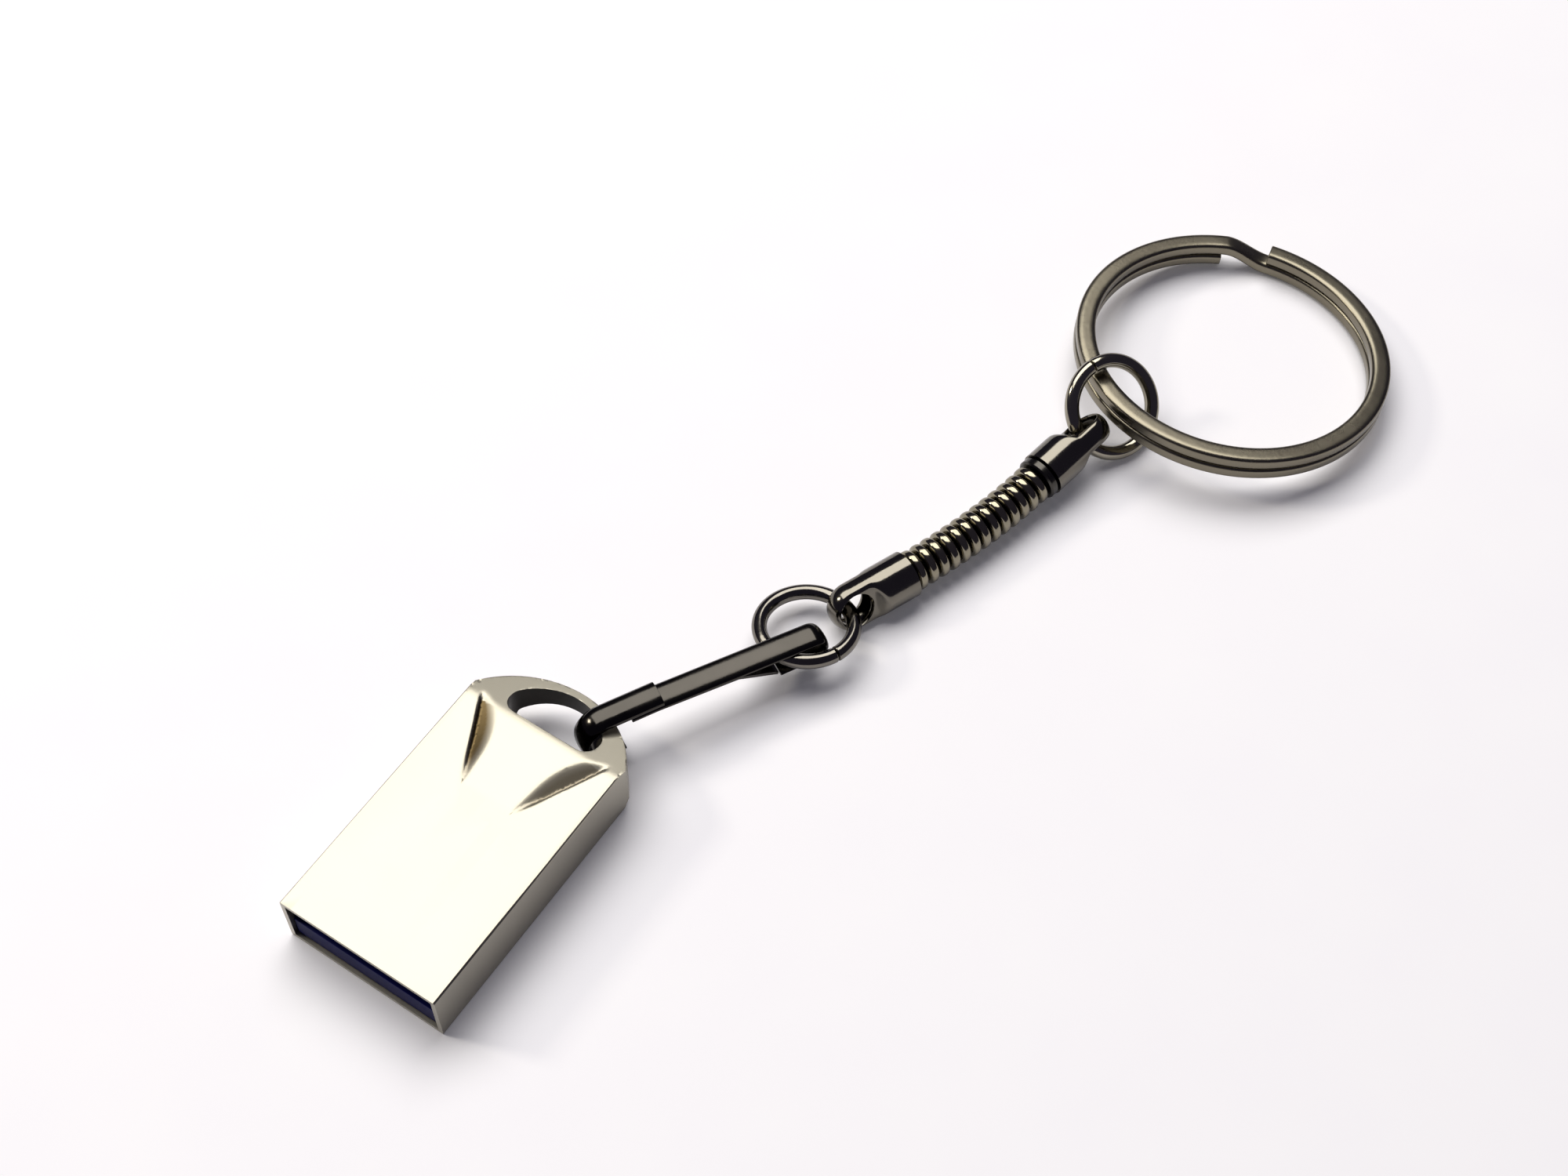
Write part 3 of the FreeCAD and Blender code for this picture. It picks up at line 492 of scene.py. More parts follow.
stop_nylon, tree, shader = new_finish("moulded_black_nylon", Roughness=0.5, IOR=1.53)
place = add(tree, "ShaderNodeTexCoord").outputs["Object"]
spark = add(tree, "ShaderNodeTexNoise", {"Vector": place, "Scale": per_mm(0.15), "Detail": 2.0})
black = add(tree, "ShaderNodeMix", {"Factor": spark.outputs["Fac"], 6: linear("#131316"),
                                    7: linear("#212126")}, data_type="RGBA")
tree.links.new(black.outputs[2], shader.inputs["Base Color"])
eroded = add(tree, "ShaderNodeBump", {"Height": spark.outputs["Fac"], "Strength": 0.4,
                                      "Distance": 0.00002})
tree.links.new(eroded.outputs["Normal"], shader.inputs["Normal"])
clip = cad_copy("board_stop", "rear_clip")
round_edges(clip, "moulded_edges", width=0.08)
dress(clip, stop_nylon, "drive", "stop_plastic", "board_stop")


# ---------------------------------------------------------------------------
# Strip hook. Two strips of half-round steel, 1.9 mm wide, bent flatwise: one
# folds round the drive's bar, the other lies under its end and runs back to a
# closed eye. Both are polished and plated black nickel, a dark mirror.
# ---------------------------------------------------------------------------

HOOK_WIDTH = 1.9           # millimetres, as are the sizes below
HOOK_INNER = 1.5
HOOK_THICK = 0.55
HOOK_TIP = 1.0
HOOK_DOME = 0.45           # rise of the domed side
HOOK_STEP = 3.9
EYE_THICK = 0.38
EYE_DOME = 0.32
EYE_LAP = 2.3
EYE_REACH = 15.0
EYE_INNER = 0.75
EYE_DROP = -0.22
EYE_RETURN = 2.6
STRIP_ARRIS = 0.06
STRIP_CROWN = 0.72         # under 1 the dome is fuller than an ellipse


def half_round(width, thick, rise, steps=10):
    """Section of half-round strip: flat inside, domed outside, as (across, out) pairs."""
    half = width / 2
    side = thick - rise
    points = [(-half + STRIP_ARRIS, 0.0), (half - STRIP_ARRIS, 0.0), (half, STRIP_ARRIS),
              (half, side * 0.6)]
    for step in range(steps + 1):
        turn = math.pi * step / steps
        points.append((half * math.cos(turn), side + rise * math.sin(turn) ** STRIP_CROWN))
    return points + [(-half, side * 0.6), (-half, STRIP_ARRIS)]


def bend(centre, radius, start, end, steps):
    """Points and outward directions round a bend in the strip's own plane."""
    points = []
    for step in range(steps + 1):
        turn = math.radians(start + (end - start) * step / steps)
        out = (math.cos(turn), math.sin(turn))
        points.append(((centre[0] + radius * out[0], centre[1] + radius * out[1]), out))
    return points


def join_rows(work, rows):
    """Joins rows of corners into a closed skin, capped at both ends."""
    faces = []
    for near, far in zip(rows, rows[1:]):
        for k in range(len(near)):
            m = (k + 1) % len(near)
            faces.append(work.faces.new((near[k], near[m], far[m], far[k])))
    faces += [work.faces.new(rows[0]), work.faces.new(rows[-1])]
    bmesh.ops.recalc_face_normals(work, faces=faces)
    return faces


def mesh_of(work, name):
    """Turns a finished working mesh into a named one."""
    mesh = bpy.data.meshes.new(name)
    work.to_mesh(mesh)
    work.free()
    return mesh


def sweep(name, path, section, place):
    """Carries a section of (across, out) millimetre pairs along path stations.
    A station is ((x, z), (out x, out z)); place turns x, across, z into the row frame."""
    work = bmesh.new()
    rows = []
    for (x, z), (out_x, out_z) in path:
        corners = [Vector((x + out_x * out, across, z + out_z * out)) for across, out in section]
        rows.append([work.verts.new(place @ (corner * 0.001)) for corner in corners])
    join_rows(work, rows)
    return placed(name, mesh_of(work, name))


def frame_at(origin, x_axis, y_axis, z_axis):
    """Matrix from a piece's own metres to the row frame."""
    turn = Matrix((x_axis, y_axis, z_axis)).transposed().to_4x4()
    return Matrix.Translation(origin) @ turn


def black_nickel(name, dark, pale, low, high, smudge):
    """Bright black nickel: a dark mirror with handling haze a few millimetres across."""
    finish, tree, shader = new_finish(name, Metallic=1.0)
    place = add(tree, "ShaderNodeTexCoord").outputs["Object"]
    haze = add(tree, "ShaderNodeTexNoise", {"Vector": place, "Scale": per_mm(smudge),
                                            "Detail": 3.0, "Roughness": 0.55})
    tint = add(tree, "ShaderNodeMix", {"Factor": haze.outputs["Fac"], 6: linear(dark),
                                       7: linear(pale)}, data_type="RGBA")
    tree.links.new(tint.outputs[2], shader.inputs["Base Color"])
    dull = add(tree, "ShaderNodeMapRange", {"Value": haze.outputs["Fac"], "From Min": 0.3,
                                            "From Max": 0.7, "To Min": low, "To Max": high})
    tree.links.new(dull.outputs["Result"], shader.inputs["Roughness"])
    ripple = add(tree, "ShaderNodeTexNoise", {"Vector": place, "Scale": per_mm(0.7), "Detail": 2.0})
    relief = add(tree, "ShaderNodeBump", {"Height": ripple.outputs["Fac"], "Strength": 0.25,
                                          "Distance": 0.00003})
    tree.links.new(relief.outputs["Normal"], shader.inputs["Normal"])
    return finish


hook_axis = Vector(joints["hook_lift"]["axis"])
hook_along = Vector((-hook_axis.y, hook_axis.x, 0.0))
hook_place = frame_at(Vector(joints["hook_lift"]["pos_m"]), hook_along,
                      Vector((0, 0, 1)).cross(hook_along), Vector((0, 0, 1)))
strip_nickel = black_nickel("black_nickel_on_half_round_strip", "#34322f", "#45423e",
                            low=0.1, high=0.22, smudge=3.0)

nose_path = [((HOOK_TIP, -HOOK_INNER), (0, -1)), ((0.5, -HOOK_INNER), (0, -1))]
nose_path += bend((0, 0), HOOK_INNER, 270, 90, 40)
nose_path += [((x, HOOK_INNER), (0, 1)) for x in (0.5, 1.2, 2.0, 2.8, 3.4, HOOK_STEP)]
nose = sweep("hook_nose_strip", nose_path, half_round(HOOK_WIDTH, HOOK_THICK, HOOK_DOME),
             hook_place)

lap_z = HOOK_INNER - EYE_THICK
run_x, run_z = EYE_REACH - HOOK_STEP, EYE_DROP - lap_z
leave = math.degrees(math.atan2(run_z, run_x) + math.acos(-EYE_INNER / math.hypot(run_x, run_z)))
slope = (math.cos(math.radians(leave)), math.sin(math.radians(leave)))
eye_path = [((HOOK_STEP - x, lap_z), (0, 1)) for x in (EYE_LAP, 1.2, 0.3)]
end = (EYE_REACH + EYE_INNER * slope[0], EYE_DROP + EYE_INNER * slope[1])
for share in (0.03, 0.2, 0.4, 0.6, 0.8, 0.97):
    eye_path.append(((HOOK_STEP + (end[0] - HOOK_STEP) * share,
                      lap_z + (end[1] - lap_z) * share), slope))
eye_path += bend((EYE_REACH, EYE_DROP), EYE_INNER, leave, -90, 30)
eye_path += [((EYE_REACH - x, EYE_DROP - EYE_INNER), (0, -1)) for x in (0.6, 1.5, EYE_RETURN)]
eye = sweep("hook_eye_strip", eye_path, half_round(HOOK_WIDTH, EYE_THICK, EYE_DOME), hook_place)

for piece, node in ((nose, "hook_strip"), (eye, "eye_strip")):
    soften(piece.data, 50.0)
    round_edges(piece, "dressed_ends", width=0.07, segments=3, angle=55.0)
    dress(piece, strip_nickel, "snap_hook", "gunmetal", node)


# ---------------------------------------------------------------------------
# Gate leaf. A springy strip of thin steel, spot-welded inside the eye's return,
# that lies under the strap and keeps the nose on its bar.
# ---------------------------------------------------------------------------

leaf = cad_copy("hook_gate", "gate_leaf", 40.0)
round_edges(leaf, "sheared_edges", width=0.05)
leaf_nickel = black_nickel("black_nickel_on_spring_strip", "#4b4844", "#5d5a55",
                           low=0.16, high=0.28, smudge=1.5)
dress(leaf, leaf_nickel, "gate", "gunmetal", "hook_gate")


# ---------------------------------------------------------------------------
# Jump rings. Round steel wire, 1.05 mm thick, wound to a ring and sawn, so each
# has a fine butt gap. Plated bright after sawing.
# ---------------------------------------------------------------------------

WIRE_RADIUS = 0.525
SAW_GAP = 0.12
WIRE_SIDES = 28
RING_STEPS = 120
wire_nickel = black_nickel("black_nickel_on_round_wire", "#6e6a63", "#7a766e",
                           low=0.1, high=0.15, smudge=3.0)


def jump_ring(name, joint, mean, gap_angle, finish, body, node):
    """A sawn wire ring round its joint's centre; the gap's angle is counted before it tilts."""
    centre, normal = Vector(joints[joint]["pos_m"]), Vector(joints[joint]["axis"])
    tilt = Vector((0, 0, 1)).rotation_difference(normal)
    gap = math.radians(gap_angle)
    x_axis = tilt @ Vector((math.cos(gap), math.sin(gap), 0))
    place = frame_at(centre, x_axis, normal, x_axis.cross(normal))
    half = math.degrees(SAW_GAP / 2 / mean)
    path = bend((0, 0), mean, half, 360 - half, RING_STEPS)
    turns = [math.tau * k / WIRE_SIDES for k in range(WIRE_SIDES)]
    section = [(WIRE_RADIUS * math.sin(turn), WIRE_RADIUS * math.cos(turn)) for turn in turns]
    ring = sweep(name, path, section, place)
    soften(ring.data, 50.0)
    round_edges(ring, "tumbled_ends", width=0.06, angle=60.0)
    dress(ring, finish, body, "gunmetal_wire", node)


jump_ring("hook_jump_ring", "lower_ring_slide", mean=3.2, gap_angle=70.0, finish=wire_nickel,
          body="lower_ring", node="lower_jump_ring")


# ---------------------------------------------------------------------------
# End caps. Drawn tube, 3.4 mm across, closed over the chain's end at its mouth
# and pressed flat into a pierced eye at the other end. Plated black nickel.
# ---------------------------------------------------------------------------

CAP_RADIUS = 1.7
CAP_WALL = 0.3
CAP_EYE = 1.25
CAP_REACH = 4.75           # eye centre to mouth
CAP_HALF_FLAT = 0.85
CAP_FLAT_RUN = 1.3
CAP_RAMP = 1.5
CAP_SIDES = 64
CAP_SQUARE = 6             # the higher, the flatter the pressed faces
CAP_OPEN = 1.6             # half height, in radii, at which the press no longer bites
CAP_STEPS = 40
TIP_STEPS = 24
TIP_REACH = 0.9995         # in radii, just short of a point
CAP_JOINT_PLAY = 0.075
PUNCH_HALF = 2.2           # half the height of the punched hole's tool
PUNCH_SIDES = 72
PUNCH_STEPS = 14
LIP_DEPTH = 0.22           # the lip starts so far under the face
LIP_KNEE = 0.25
LIP_CURVE = 2.2
LIP_SLOPE = 0.2
NECK_RADIUS = 0.6          # stub that enters the next band
NECK_REACH = 0.33          # past the knuckle
COLLAR_PITCH = 0.75
CAP_SLACK = 0.02


def pressed_tube(inset):
    """Rings of a round-ended tube whose eye end is pressed flat, set in by a wall."""
    radius, rings = CAP_RADIUS - inset, []
    tip = -radius * TIP_REACH
    steps = [tip - tip * (1 - math.cos(math.pi / 2 * k / TIP_STEPS))
             for k in range(TIP_STEPS + 1)]
    steps += [(CAP_REACH - CAP_JOINT_PLAY - inset) * k / CAP_STEPS
              for k in range(1, CAP_STEPS + 1)]
    for x in steps:
        wide = math.sqrt(radius ** 2 - min(x, 0.0) ** 2)
        share = min(max((x - CAP_FLAT_RUN) / CAP_RAMP, 0.0), 1.0)
        share = share * share * (3 - 2 * share)
        press = CAP_HALF_FLAT - inset + share * (radius * CAP_OPEN - CAP_HALF_FLAT + inset)
        ring = []
        for k in range(CAP_SIDES):
            turn = math.tau * k / CAP_SIDES
            up = wide * math.sin(turn)
            squash = (1 + abs(up / press) ** CAP_SQUARE) ** (1 / CAP_SQUARE)
            ring.append(Vector((x, wide * math.cos(turn), up / squash)))
        rings.append(ring)
    return rings


def skin_rings(work, rings, place, inward=False):
    """Joins rings of points into a closed skin that faces out, or in."""
    faces = join_rows(work, [[work.verts.new(place @ (point * 0.001)) for point in ring]
                             for ring in rings])
    if inward:
        bmesh.ops.reverse_faces(work, faces=faces)


def pressed_cap(name, eye, along, hole_axis, finish, body, node, necked):
    """One hollow cap: pressed tube, less a punched eye whose lips are rounded."""
    across = hole_axis.cross(along)
    place = frame_at(eye, along, across, hole_axis)
    work = bmesh.new()
    outside = pressed_tube(0.0)
    turns = [math.tau * k / CAP_SIDES for k in range(CAP_SIDES)]
    for x in ((outside[-1][0].x, CAP_REACH + NECK_REACH) if necked else ()):
        outside.append([Vector((x, NECK_RADIUS * math.cos(turn), NECK_RADIUS * math.sin(turn)))
                        for turn in turns])
    skin_rings(work, outside, place)
    skin_rings(work, pressed_tube(CAP_WALL), place, inward=True)
    piece = placed(name, mesh_of(work, name))
    work, lips = bmesh.new(), []
    turns = [math.tau * k / PUNCH_SIDES for k in range(PUNCH_SIDES)]
    for k in range(-PUNCH_STEPS, PUNCH_STEPS + 1):
        height = PUNCH_HALF * k / PUNCH_STEPS
        flare = max(abs(height) - (CAP_HALF_FLAT - LIP_DEPTH), 0.0)
        reach = (CAP_EYE + min(flare, LIP_KNEE) ** 2 * LIP_CURVE
                 + max(flare - LIP_KNEE, 0.0) * LIP_SLOPE)
        lips.append([Vector((reach * math.cos(turn), reach * math.sin(turn), height))
                     for turn in turns])
    skin_rings(work, lips, place)
    punch = placed(name + "_punch", mesh_of(work, name + "_punch"))
    cut = piece.modifiers.new("punched_eye", "BOOLEAN")
    cut.object = punch
    cut.solver = "EXACT"
    bpy.context.view_layer.update()
    evaluated = piece.evaluated_get(bpy.context.evaluated_depsgraph_get())
    punched = bpy.data.meshes.new_from_object(evaluated)
    piece.modifiers.remove(cut)
    piece.data = punched
    bpy.data.objects.remove(punch)
    soften(punched, 38.0)
    dress(piece, finish, body, "gunmetal_cap", node)


cap_nickel = black_nickel("black_nickel_on_drawn_cap", "#67635b", "#747067",
                          low=0.1, high=0.16, smudge=3.0)
lower_eye = Vector(joints["lower_cap_swing"]["pos_m"])
lower_run = (Vector(joints["bend_01"]["pos_m"]) - lower_eye).normalized()
pressed_cap("lower_pressed_cap", lower_eye, lower_run,
            Vector(joints["lower_cap_swing"]["axis"]).normalized(), cap_nickel, "lower_cap",
            "lower_end_cap", necked=True)

last_knuckle = Vector(joints["lift_14"]["pos_m"])
upper_run = (last_knuckle - Vector(joints["bend_13"]["pos_m"])).normalized()
upper_eye = last_knuckle + upper_run * (COLLAR_PITCH + CAP_SLACK + CAP_REACH) * 0.001
upper_ring_joint = joints["upper_ring_slide"]
wire_run = Vector(upper_ring_joint["axis"]).cross(upper_eye - Vector(upper_ring_joint["pos_m"]))
wire_run = (wire_run - upper_run * wire_run.dot(upper_run)).normalized()
pressed_cap("upper_pressed_cap", upper_eye, -upper_run, wire_run, cap_nickel, "upper_cap",
            "upper_end_cap", necked=False)


# ---------------------------------------------------------------------------
# Snake chain. Thirteen barrel bands rolled from steel strip, each clipped over
# the neck of the one before, so the chain bends a few degrees at every band.
# The bands are plated and polished; the grooves between them lie in shade.
# ---------------------------------------------------------------------------

BAND_PITCH = 0.92
BAND_GAP = 0.15
BAND_CROWN = 1.47
BAND_RIM = 1.16
BAND_SQUARE = 3.4          # the higher, the flatter the crown
BAND_WELD = 0.1            # how deep the neck is rooted in its band
BAND_BORE = 0.9
BORE_DEPTH = 0.48

chain_nickel = black_nickel("black_nickel_on_rolled_bands", "#857f6f", "#918b79",
                            low=0.1, high=0.15, smudge=3.0)


def band_tree():
    """Geometry nodes for one barrel band with its neck, at a place, along a direction."""
    tree = bpy.data.node_groups.new("snake_chain_band", "GeometryNodeTree")
    for name, kind in (("Place", "Vector"), ("Along", "Vector"), ("Width", "Float"),
                       ("Crown radius", "Float"), ("Rim radius", "Float"), ("Neck radius", "Float"),
                       ("Neck length", "Float"), ("Bore radius", "Float"), ("Bore depth", "Float"),
                       ("Weld", "Float"), ("Finish", "Material")):
        tree.interface.new_socket(name, in_out="INPUT", socket_type="NodeSocket" + kind)
    tree.interface.new_socket("Geometry", in_out="OUTPUT", socket_type="NodeSocketGeometry")
    given = add(tree, "NodeGroupInput").outputs
    tube = add(tree, "GeometryNodeMeshCylinder", {"Vertices": 64, "Side Segments": 20,
                                                  "Radius": 1.0, "Depth": 1.0})
    position = add(tree, "GeometryNodeInputPosition").outputs[0]
    spot = add(tree, "ShaderNodeSeparateXYZ", {0: position})
    half = add(tree, "ShaderNodeMath", {0: spot.outputs["Z"], 1: 2.0}, operation="MULTIPLY")
    away = add(tree, "ShaderNodeMath", {0: half.outputs[0]}, operation="ABSOLUTE")
    square = add(tree, "ShaderNodeMath", {0: away.outputs[0], 1: BAND_SQUARE}, operation="POWER")
    radius = add(tree, "ShaderNodeMix", {"Factor": square.outputs[0], 2: given["Crown radius"],
                                         3: given["Rim radius"]}, data_type="FLOAT")
    wide = add(tree, "ShaderNodeMath", {0: spot.outputs["X"], 1: radius.outputs[0]},
               operation="MULTIPLY")
    deep = add(tree, "ShaderNodeMath", {0: spot.outputs["Y"], 1: radius.outputs[0]},
               operation="MULTIPLY")
    long = add(tree, "ShaderNodeMath", {0: spot.outputs["Z"], 1: given["Width"]},
               operation="MULTIPLY")
    barrel_place = add(tree, "ShaderNodeCombineXYZ", {0: wide.outputs[0], 1: deep.outputs[0],
                                                      2: long.outputs[0]})
    barrel = add(tree, "GeometryNodeSetPosition", {"Geometry": tube.outputs["Mesh"],
                                                   "Position": barrel_place.outputs[0]})
    behind = add(tree, "ShaderNodeMath", {0: given["Width"], 1: -0.5}, operation="MULTIPLY")
    behind = add(tree, "ShaderNodeCombineXYZ", {2: behind.outputs[0]})
    both_ways = add(tree, "ShaderNodeMath", {0: given["Bore depth"], 1: 2.0}, operation="MULTIPLY")
    drill = add(tree, "GeometryNodeMeshCylinder", {"Vertices": 48, "Radius": given["Bore radius"],
                                                   "Depth": both_ways.outputs[0]})
    drill = add(tree, "GeometryNodeTransform", {"Geometry": drill.outputs["Mesh"],
                                                "Translation": behind.outputs[0]})
    hollow = add(tree, "GeometryNodeMeshBoolean", {"Mesh 1": barrel.outputs[0],
                                                   "Mesh 2": drill.outputs[0]},
                 operation="DIFFERENCE", solver="EXACT")
    long_neck = add(tree, "ShaderNodeMath", {0: given["Neck length"], 1: given["Weld"]},
                    operation="ADD")
    neck = add(tree, "GeometryNodeMeshCylinder", {"Vertices": 32, "Radius": given["Neck radius"],
                                                  "Depth": long_neck.outputs[0]})
    ahead = add(tree, "ShaderNodeMath", {0: given["Width"], 1: given["Neck length"]},
                operation="ADD")
    ahead = add(tree, "ShaderNodeMath", {0: ahead.outputs[0], 1: given["Weld"]},
                operation="SUBTRACT")
    ahead = add(tree, "ShaderNodeMath", {0: ahead.outputs[0], 1: 0.5}, operation="MULTIPLY")
    ahead = add(tree, "ShaderNodeCombineXYZ", {2: ahead.outputs[0]})
    neck = add(tree, "GeometryNodeTransform", {"Geometry": neck.outputs["Mesh"],
                                               "Translation": ahead.outputs[0]})
    both = add(tree, "GeometryNodeMeshBoolean", {"Mesh 2": hollow.outputs["Mesh"]},
               operation="UNION", solver="EXACT")
    tree.links.new(neck.outputs[0], both.inputs["Mesh 2"])
    point = add(tree, "GeometryNodePoints", {"Count": 1, "Position": given["Place"]})
    face = add(tree, "FunctionNodeAlignRotationToVector", {"Vector": given["Along"]}, axis="Z")
    band = add(tree, "GeometryNodeInstanceOnPoints", {"Points": point.outputs[0],
                                                      "Instance": both.outputs[0],
                                                      "Rotation": face.outputs[0]})
    solid = add(tree, "GeometryNodeRealizeInstances", {0: band.outputs[0]})
    done = add(tree, "GeometryNodeSetMaterial", {"Geometry": solid.outputs[0],
                                                 "Material": given["Finish"]})
    add(tree, "NodeGroupOutput", {0: done.outputs[0]})
    return tree


def grown(name, tree, values):
    """The plain mesh object that a geometry tree makes from named input values."""
    seed = placed(name + "_seed", bpy.data.meshes.new(name + "_seed"))
    maker = seed.modifiers.new("maker", "NODES")
    maker.node_group = tree
    for item in tree.interface.items_tree:
        if item.in_out == "INPUT" and item.name in values:
            maker[item.identifier] = values[item.name]
    seed.update_tag()
    bpy.context.view_layer.update()
    evaluated = seed.evaluated_get(bpy.context.evaluated_depsgraph_get())
    mesh = bpy.data.meshes.new_from_object(evaluated)
    mesh.name = name
    seed.modifiers.remove(maker)
    bpy.data.objects.remove(seed)
    return placed(name, mesh)


chain_joints = ["bend_%02d" % n if n % 2 else "lift_%02d" % n for n in range(1, 15)]
knuckles = [Vector(joints[name]["pos_m"]) for name in chain_joints]
band_maker = band_tree()
for number, (start, stop) in enumerate(zip(knuckles, knuckles[1:]), start=1):
    node = "chain_link_%02d" % number
    band = grown("barrel_band_%02d" % number, band_maker, {
        "Place": tuple((start + stop) / 2), "Along": tuple((stop - start).normalized()),
        "Width": (BAND_PITCH - BAND_GAP) / 1000, "Crown radius": BAND_CROWN / 1000,
        "Rim radius": BAND_RIM / 1000, "Neck radius": NECK_RADIUS / 1000,
        "Neck length": (BAND_GAP / 2 + NECK_REACH) / 1000, "Bore radius": BAND_BORE / 1000,
        "Bore depth": BORE_DEPTH / 1000, "Weld": BAND_WELD / 1000, "Finish": chain_nickel})
    soften(band.data, 60.0)
    dress(band, chain_nickel, "link_%02d" % number, "gunmetal_chain", node)

collar = cad_copy("chain_collar", "plain_collar", 30.0)
collar_nickel = black_nickel("black_nickel_on_plain_collar", "#3d3b38", "#4c4a46",
                             low=0.16, high=0.26, smudge=1.2)
dress(collar, collar_nickel, "upper_cap", "gunmetal_chain", "chain_collar")


# ---------------------------------------------------------------------------
# Upper jump ring. The same wire, wound slightly wider; it stands up through the
# cap's eye and carries the split ring.
# ---------------------------------------------------------------------------

# Painted light: the same plated wire as the lower ring, given a paler colour to stand in for the
# brighter light this ring catches.
upper_painted_light_nickel = black_nickel("painted_light_black_nickel_on_round_wire", "#8f8a7c", "#9a9587",
                            low=0.1, high=0.16, smudge=3.0)
jump_ring("key_jump_ring", "upper_ring_slide", mean=3.3, gap_angle=253.0, finish=upper_painted_light_nickel,
          body="upper_ring", node="upper_jump_ring")


# ---------------------------------------------------------------------------
# Split ring. Spring steel drawn flat, 1.4 mm wide, wound twice and pressed
# shut: the wire climbs from the lower turn to the upper beside its two cut
# ends. Black nickel worn to a warm grey on the broad faces.
# ---------------------------------------------------------------------------

SPLIT_INNER = 10.1
SPLIT_WIDE = 1.4
SPLIT_HIGH = 0.95          # one turn of wire
SPLIT_RISE = 1.0           # from turn to turn
UPPER_CUT = 191.6          # bearings in degrees; the wire runs with falling bearing
RAMP_START = 209.6 - 360
RAMP_END = 192.0 - 360
LOWER_CUT = 210.6 - 720
FINE_STEP = 0.8            # between stations on the ramp
PLAIN_STEP = 2.5
SPLIT_NORMAL = (-0.102, 0.019, 0.995)

ring_steel = black_nickel("worn_black_nickel_on_spring_steel", "#767062", "#807a6b",
                          low=0.24, high=0.3, smudge=6.0)


def drawn_section(wide, high, count=40, square=4.6):
    """Section of flat drawn wire with rounded arrises, as (across, out) pairs."""
    points = []
    for k in range(count):
        c, r = math.cos(math.tau * k / count), math.sin(math.tau * k / count)
        size = (abs(c) ** square + abs(r) ** square) ** (-1 / square)
        points.append((high / 2 * c * size, wide / 2 * r * size))
    return points


def coil(name, centre, x_axis, y_axis, normal):
    """Two turns of flat wire: the upper one dips under its own cut end into the lower."""
    stations, bearing = [], UPPER_CUT
    while bearing > LOWER_CUT:
        share = min(max((RAMP_START - bearing) / (RAMP_START - RAMP_END), 0.0), 1.0)
        level = SPLIT_RISE * (0.5 - share * share * (3 - 2 * share))
        stations.append((bearing, level))
        bearing -= FINE_STEP if RAMP_END - 2 < bearing < RAMP_START + 2 else PLAIN_STEP
    stations.append((LOWER_CUT, -SPLIT_RISE / 2))
    work, rows = bmesh.new(), []
    for bearing, level in stations:
        out = x_axis * math.cos(math.radians(bearing)) + y_axis * math.sin(math.radians(bearing))
        rows.append([work.verts.new(centre + 0.001 * (out * (SPLIT_INNER + SPLIT_WIDE / 2 + reach)
                                                      + normal * (level + across)))
                     for across, reach in drawn_section(SPLIT_WIDE, SPLIT_HIGH)])
    join_rows(work, rows)
    mesh = mesh_of(work, name)
    soften(mesh, 50.0)
    return placed(name, mesh)


split_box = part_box("split_ring")
split_centre = (Vector(split_box[0]) + Vector(split_box[1])) / 2
split_normal = Vector(SPLIT_NORMAL).normalized()
split_x = (Vector((1, 0, 0)) - split_normal * split_normal.x).normalized()
split = coil("split_ring_coil", split_centre, split_x, split_normal.cross(split_x), split_normal)
round_edges(split, "sheared_ends", width=0.06, angle=60.0)
dress(split, ring_steel, "key_ring", "split_steel", "split_ring")


# ---------------------------------------------------------------------------
# Table, lights and camera. A matt white table, one broad soft window high
# behind the drive, a small bare lamp lower down on the same side that draws the
# sparks on the chain and rings, and the camera above the plug end.
# ---------------------------------------------------------------------------

TABLE_LIFT = 0.07          # share of white
LIT_SPOT = (-0.03, 0.008, 0.0)         # metres, as is the camera's aim

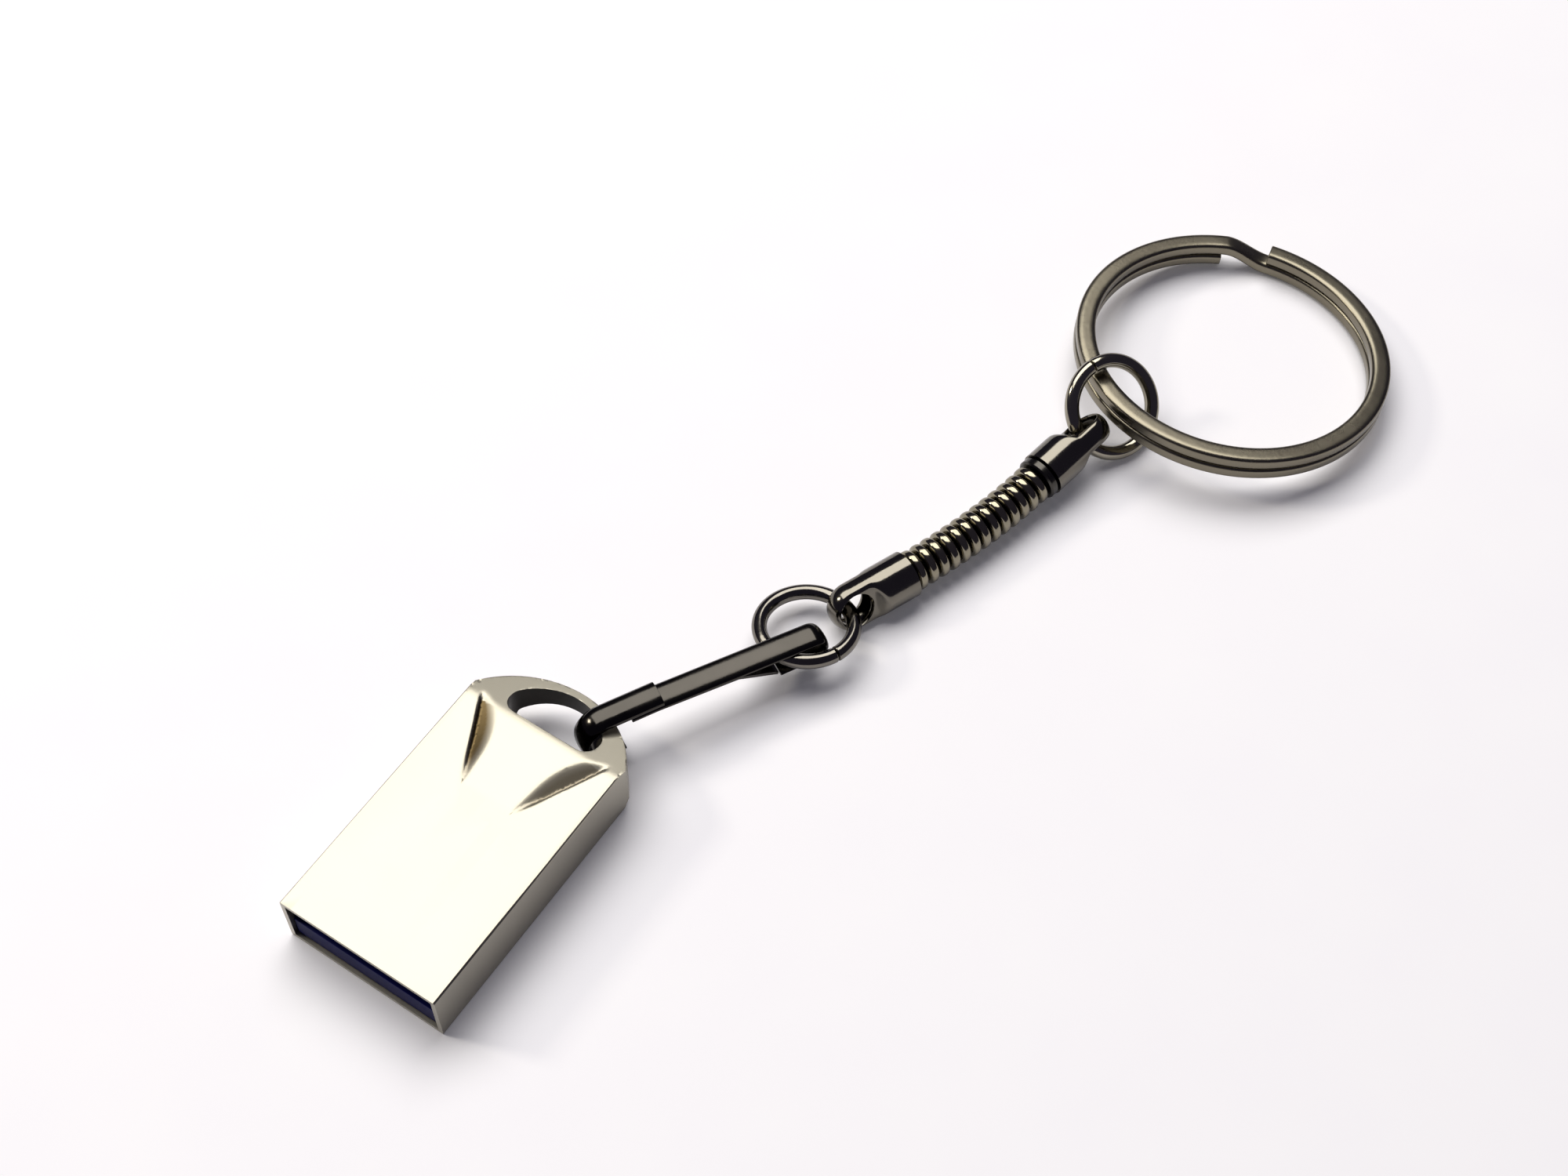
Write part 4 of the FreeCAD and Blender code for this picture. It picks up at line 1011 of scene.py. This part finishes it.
table_work = bmesh.new()
bmesh.ops.create_circle(table_work, cap_ends=True, segments=96, radius=3.0)
table = placed("pale_table", mesh_of(table_work, "pale_table"))
table_paint, tree, shader = new_finish(
    "matt_white_table", Roughness=0.6, Emission_Color=linear("#ffffff"))
place = add(tree, "ShaderNodeTexCoord").outputs["Object"]
fibre = add(tree, "ShaderNodeTexNoise", {"Vector": place, "Scale": per_mm(9.0), "Detail": 3.0})
white = add(tree, "ShaderNodeMix", {"Factor": fibre.outputs["Fac"], 6: linear("#f8f6fd"),
                                    7: linear("#fcfbff")}, data_type="RGBA")
tree.links.new(white.outputs[2], shader.inputs["Base Color"])
# The paint shows a little paler to the eye and to the metal than the lamps make it.
rays = add(tree, "ShaderNodeLightPath").outputs
seen = add(tree, "ShaderNodeMath", {0: rays["Is Camera Ray"], 1: rays["Is Glossy Ray"]},
           operation="MAXIMUM")
seen = add(tree, "ShaderNodeMath", {0: seen.outputs[0], 1: rays["Is Transmission Ray"]},
           operation="MAXIMUM")
lift = add(tree, "ShaderNodeMath", {0: seen.outputs[0], 1: TABLE_LIFT}, operation="MULTIPLY")
tree.links.new(lift.outputs[0], shader.inputs["Emission Strength"])
table.data.materials.append(table_paint)


def soft_light(name, toward, distance, wide, high, watts, tint):
    """A rectangular lamp that faces the drive from a direction."""
    data = bpy.data.lights.new(name, "AREA")
    data.shape = "RECTANGLE"
    data.size, data.size_y = wide, high
    data.energy = watts
    data.color = linear(tint)[:3]
    lamp = placed(name, data)
    direction = Vector(toward).normalized()
    lamp.location = Vector(LIT_SPOT) + direction * distance
    lamp.rotation_euler = direction.to_track_quat("Z", "Y").to_euler()


soft_light("window", (-0.27, -0.40, 0.88), distance=0.8, wide=0.95, high=0.58, watts=7.4,
           tint="#fffdf8")
soft_light("bare_lamp", (0.30, -0.78, 0.55), distance=0.8, wide=0.11, high=0.11, watts=1.3,
           tint="#fff8e6")

world = bpy.data.worlds.new("studio")
world.use_nodes = True
bpy.context.scene.world = world
sky = world.node_tree.nodes["Background"].inputs
sky["Color"].default_value = linear("#b4aed8")
sky["Strength"].default_value = 0.1

camera_data = bpy.data.cameras.new("camera")
camera_data.sensor_width = 36.0
camera_data.lens = 52.2
camera_data.clip_start = 0.005
camera = placed("camera", camera_data)
camera.location = (0.04376, 0.05386, 0.1302)
aim = Vector((-0.0292, 0.005015, 0.0))
camera.rotation_euler = (aim - camera.location).to_track_quat("-Z", "Y").to_euler()
bpy.context.scene.camera = camera
bpy.context.scene.view_settings.view_transform = "Standard"
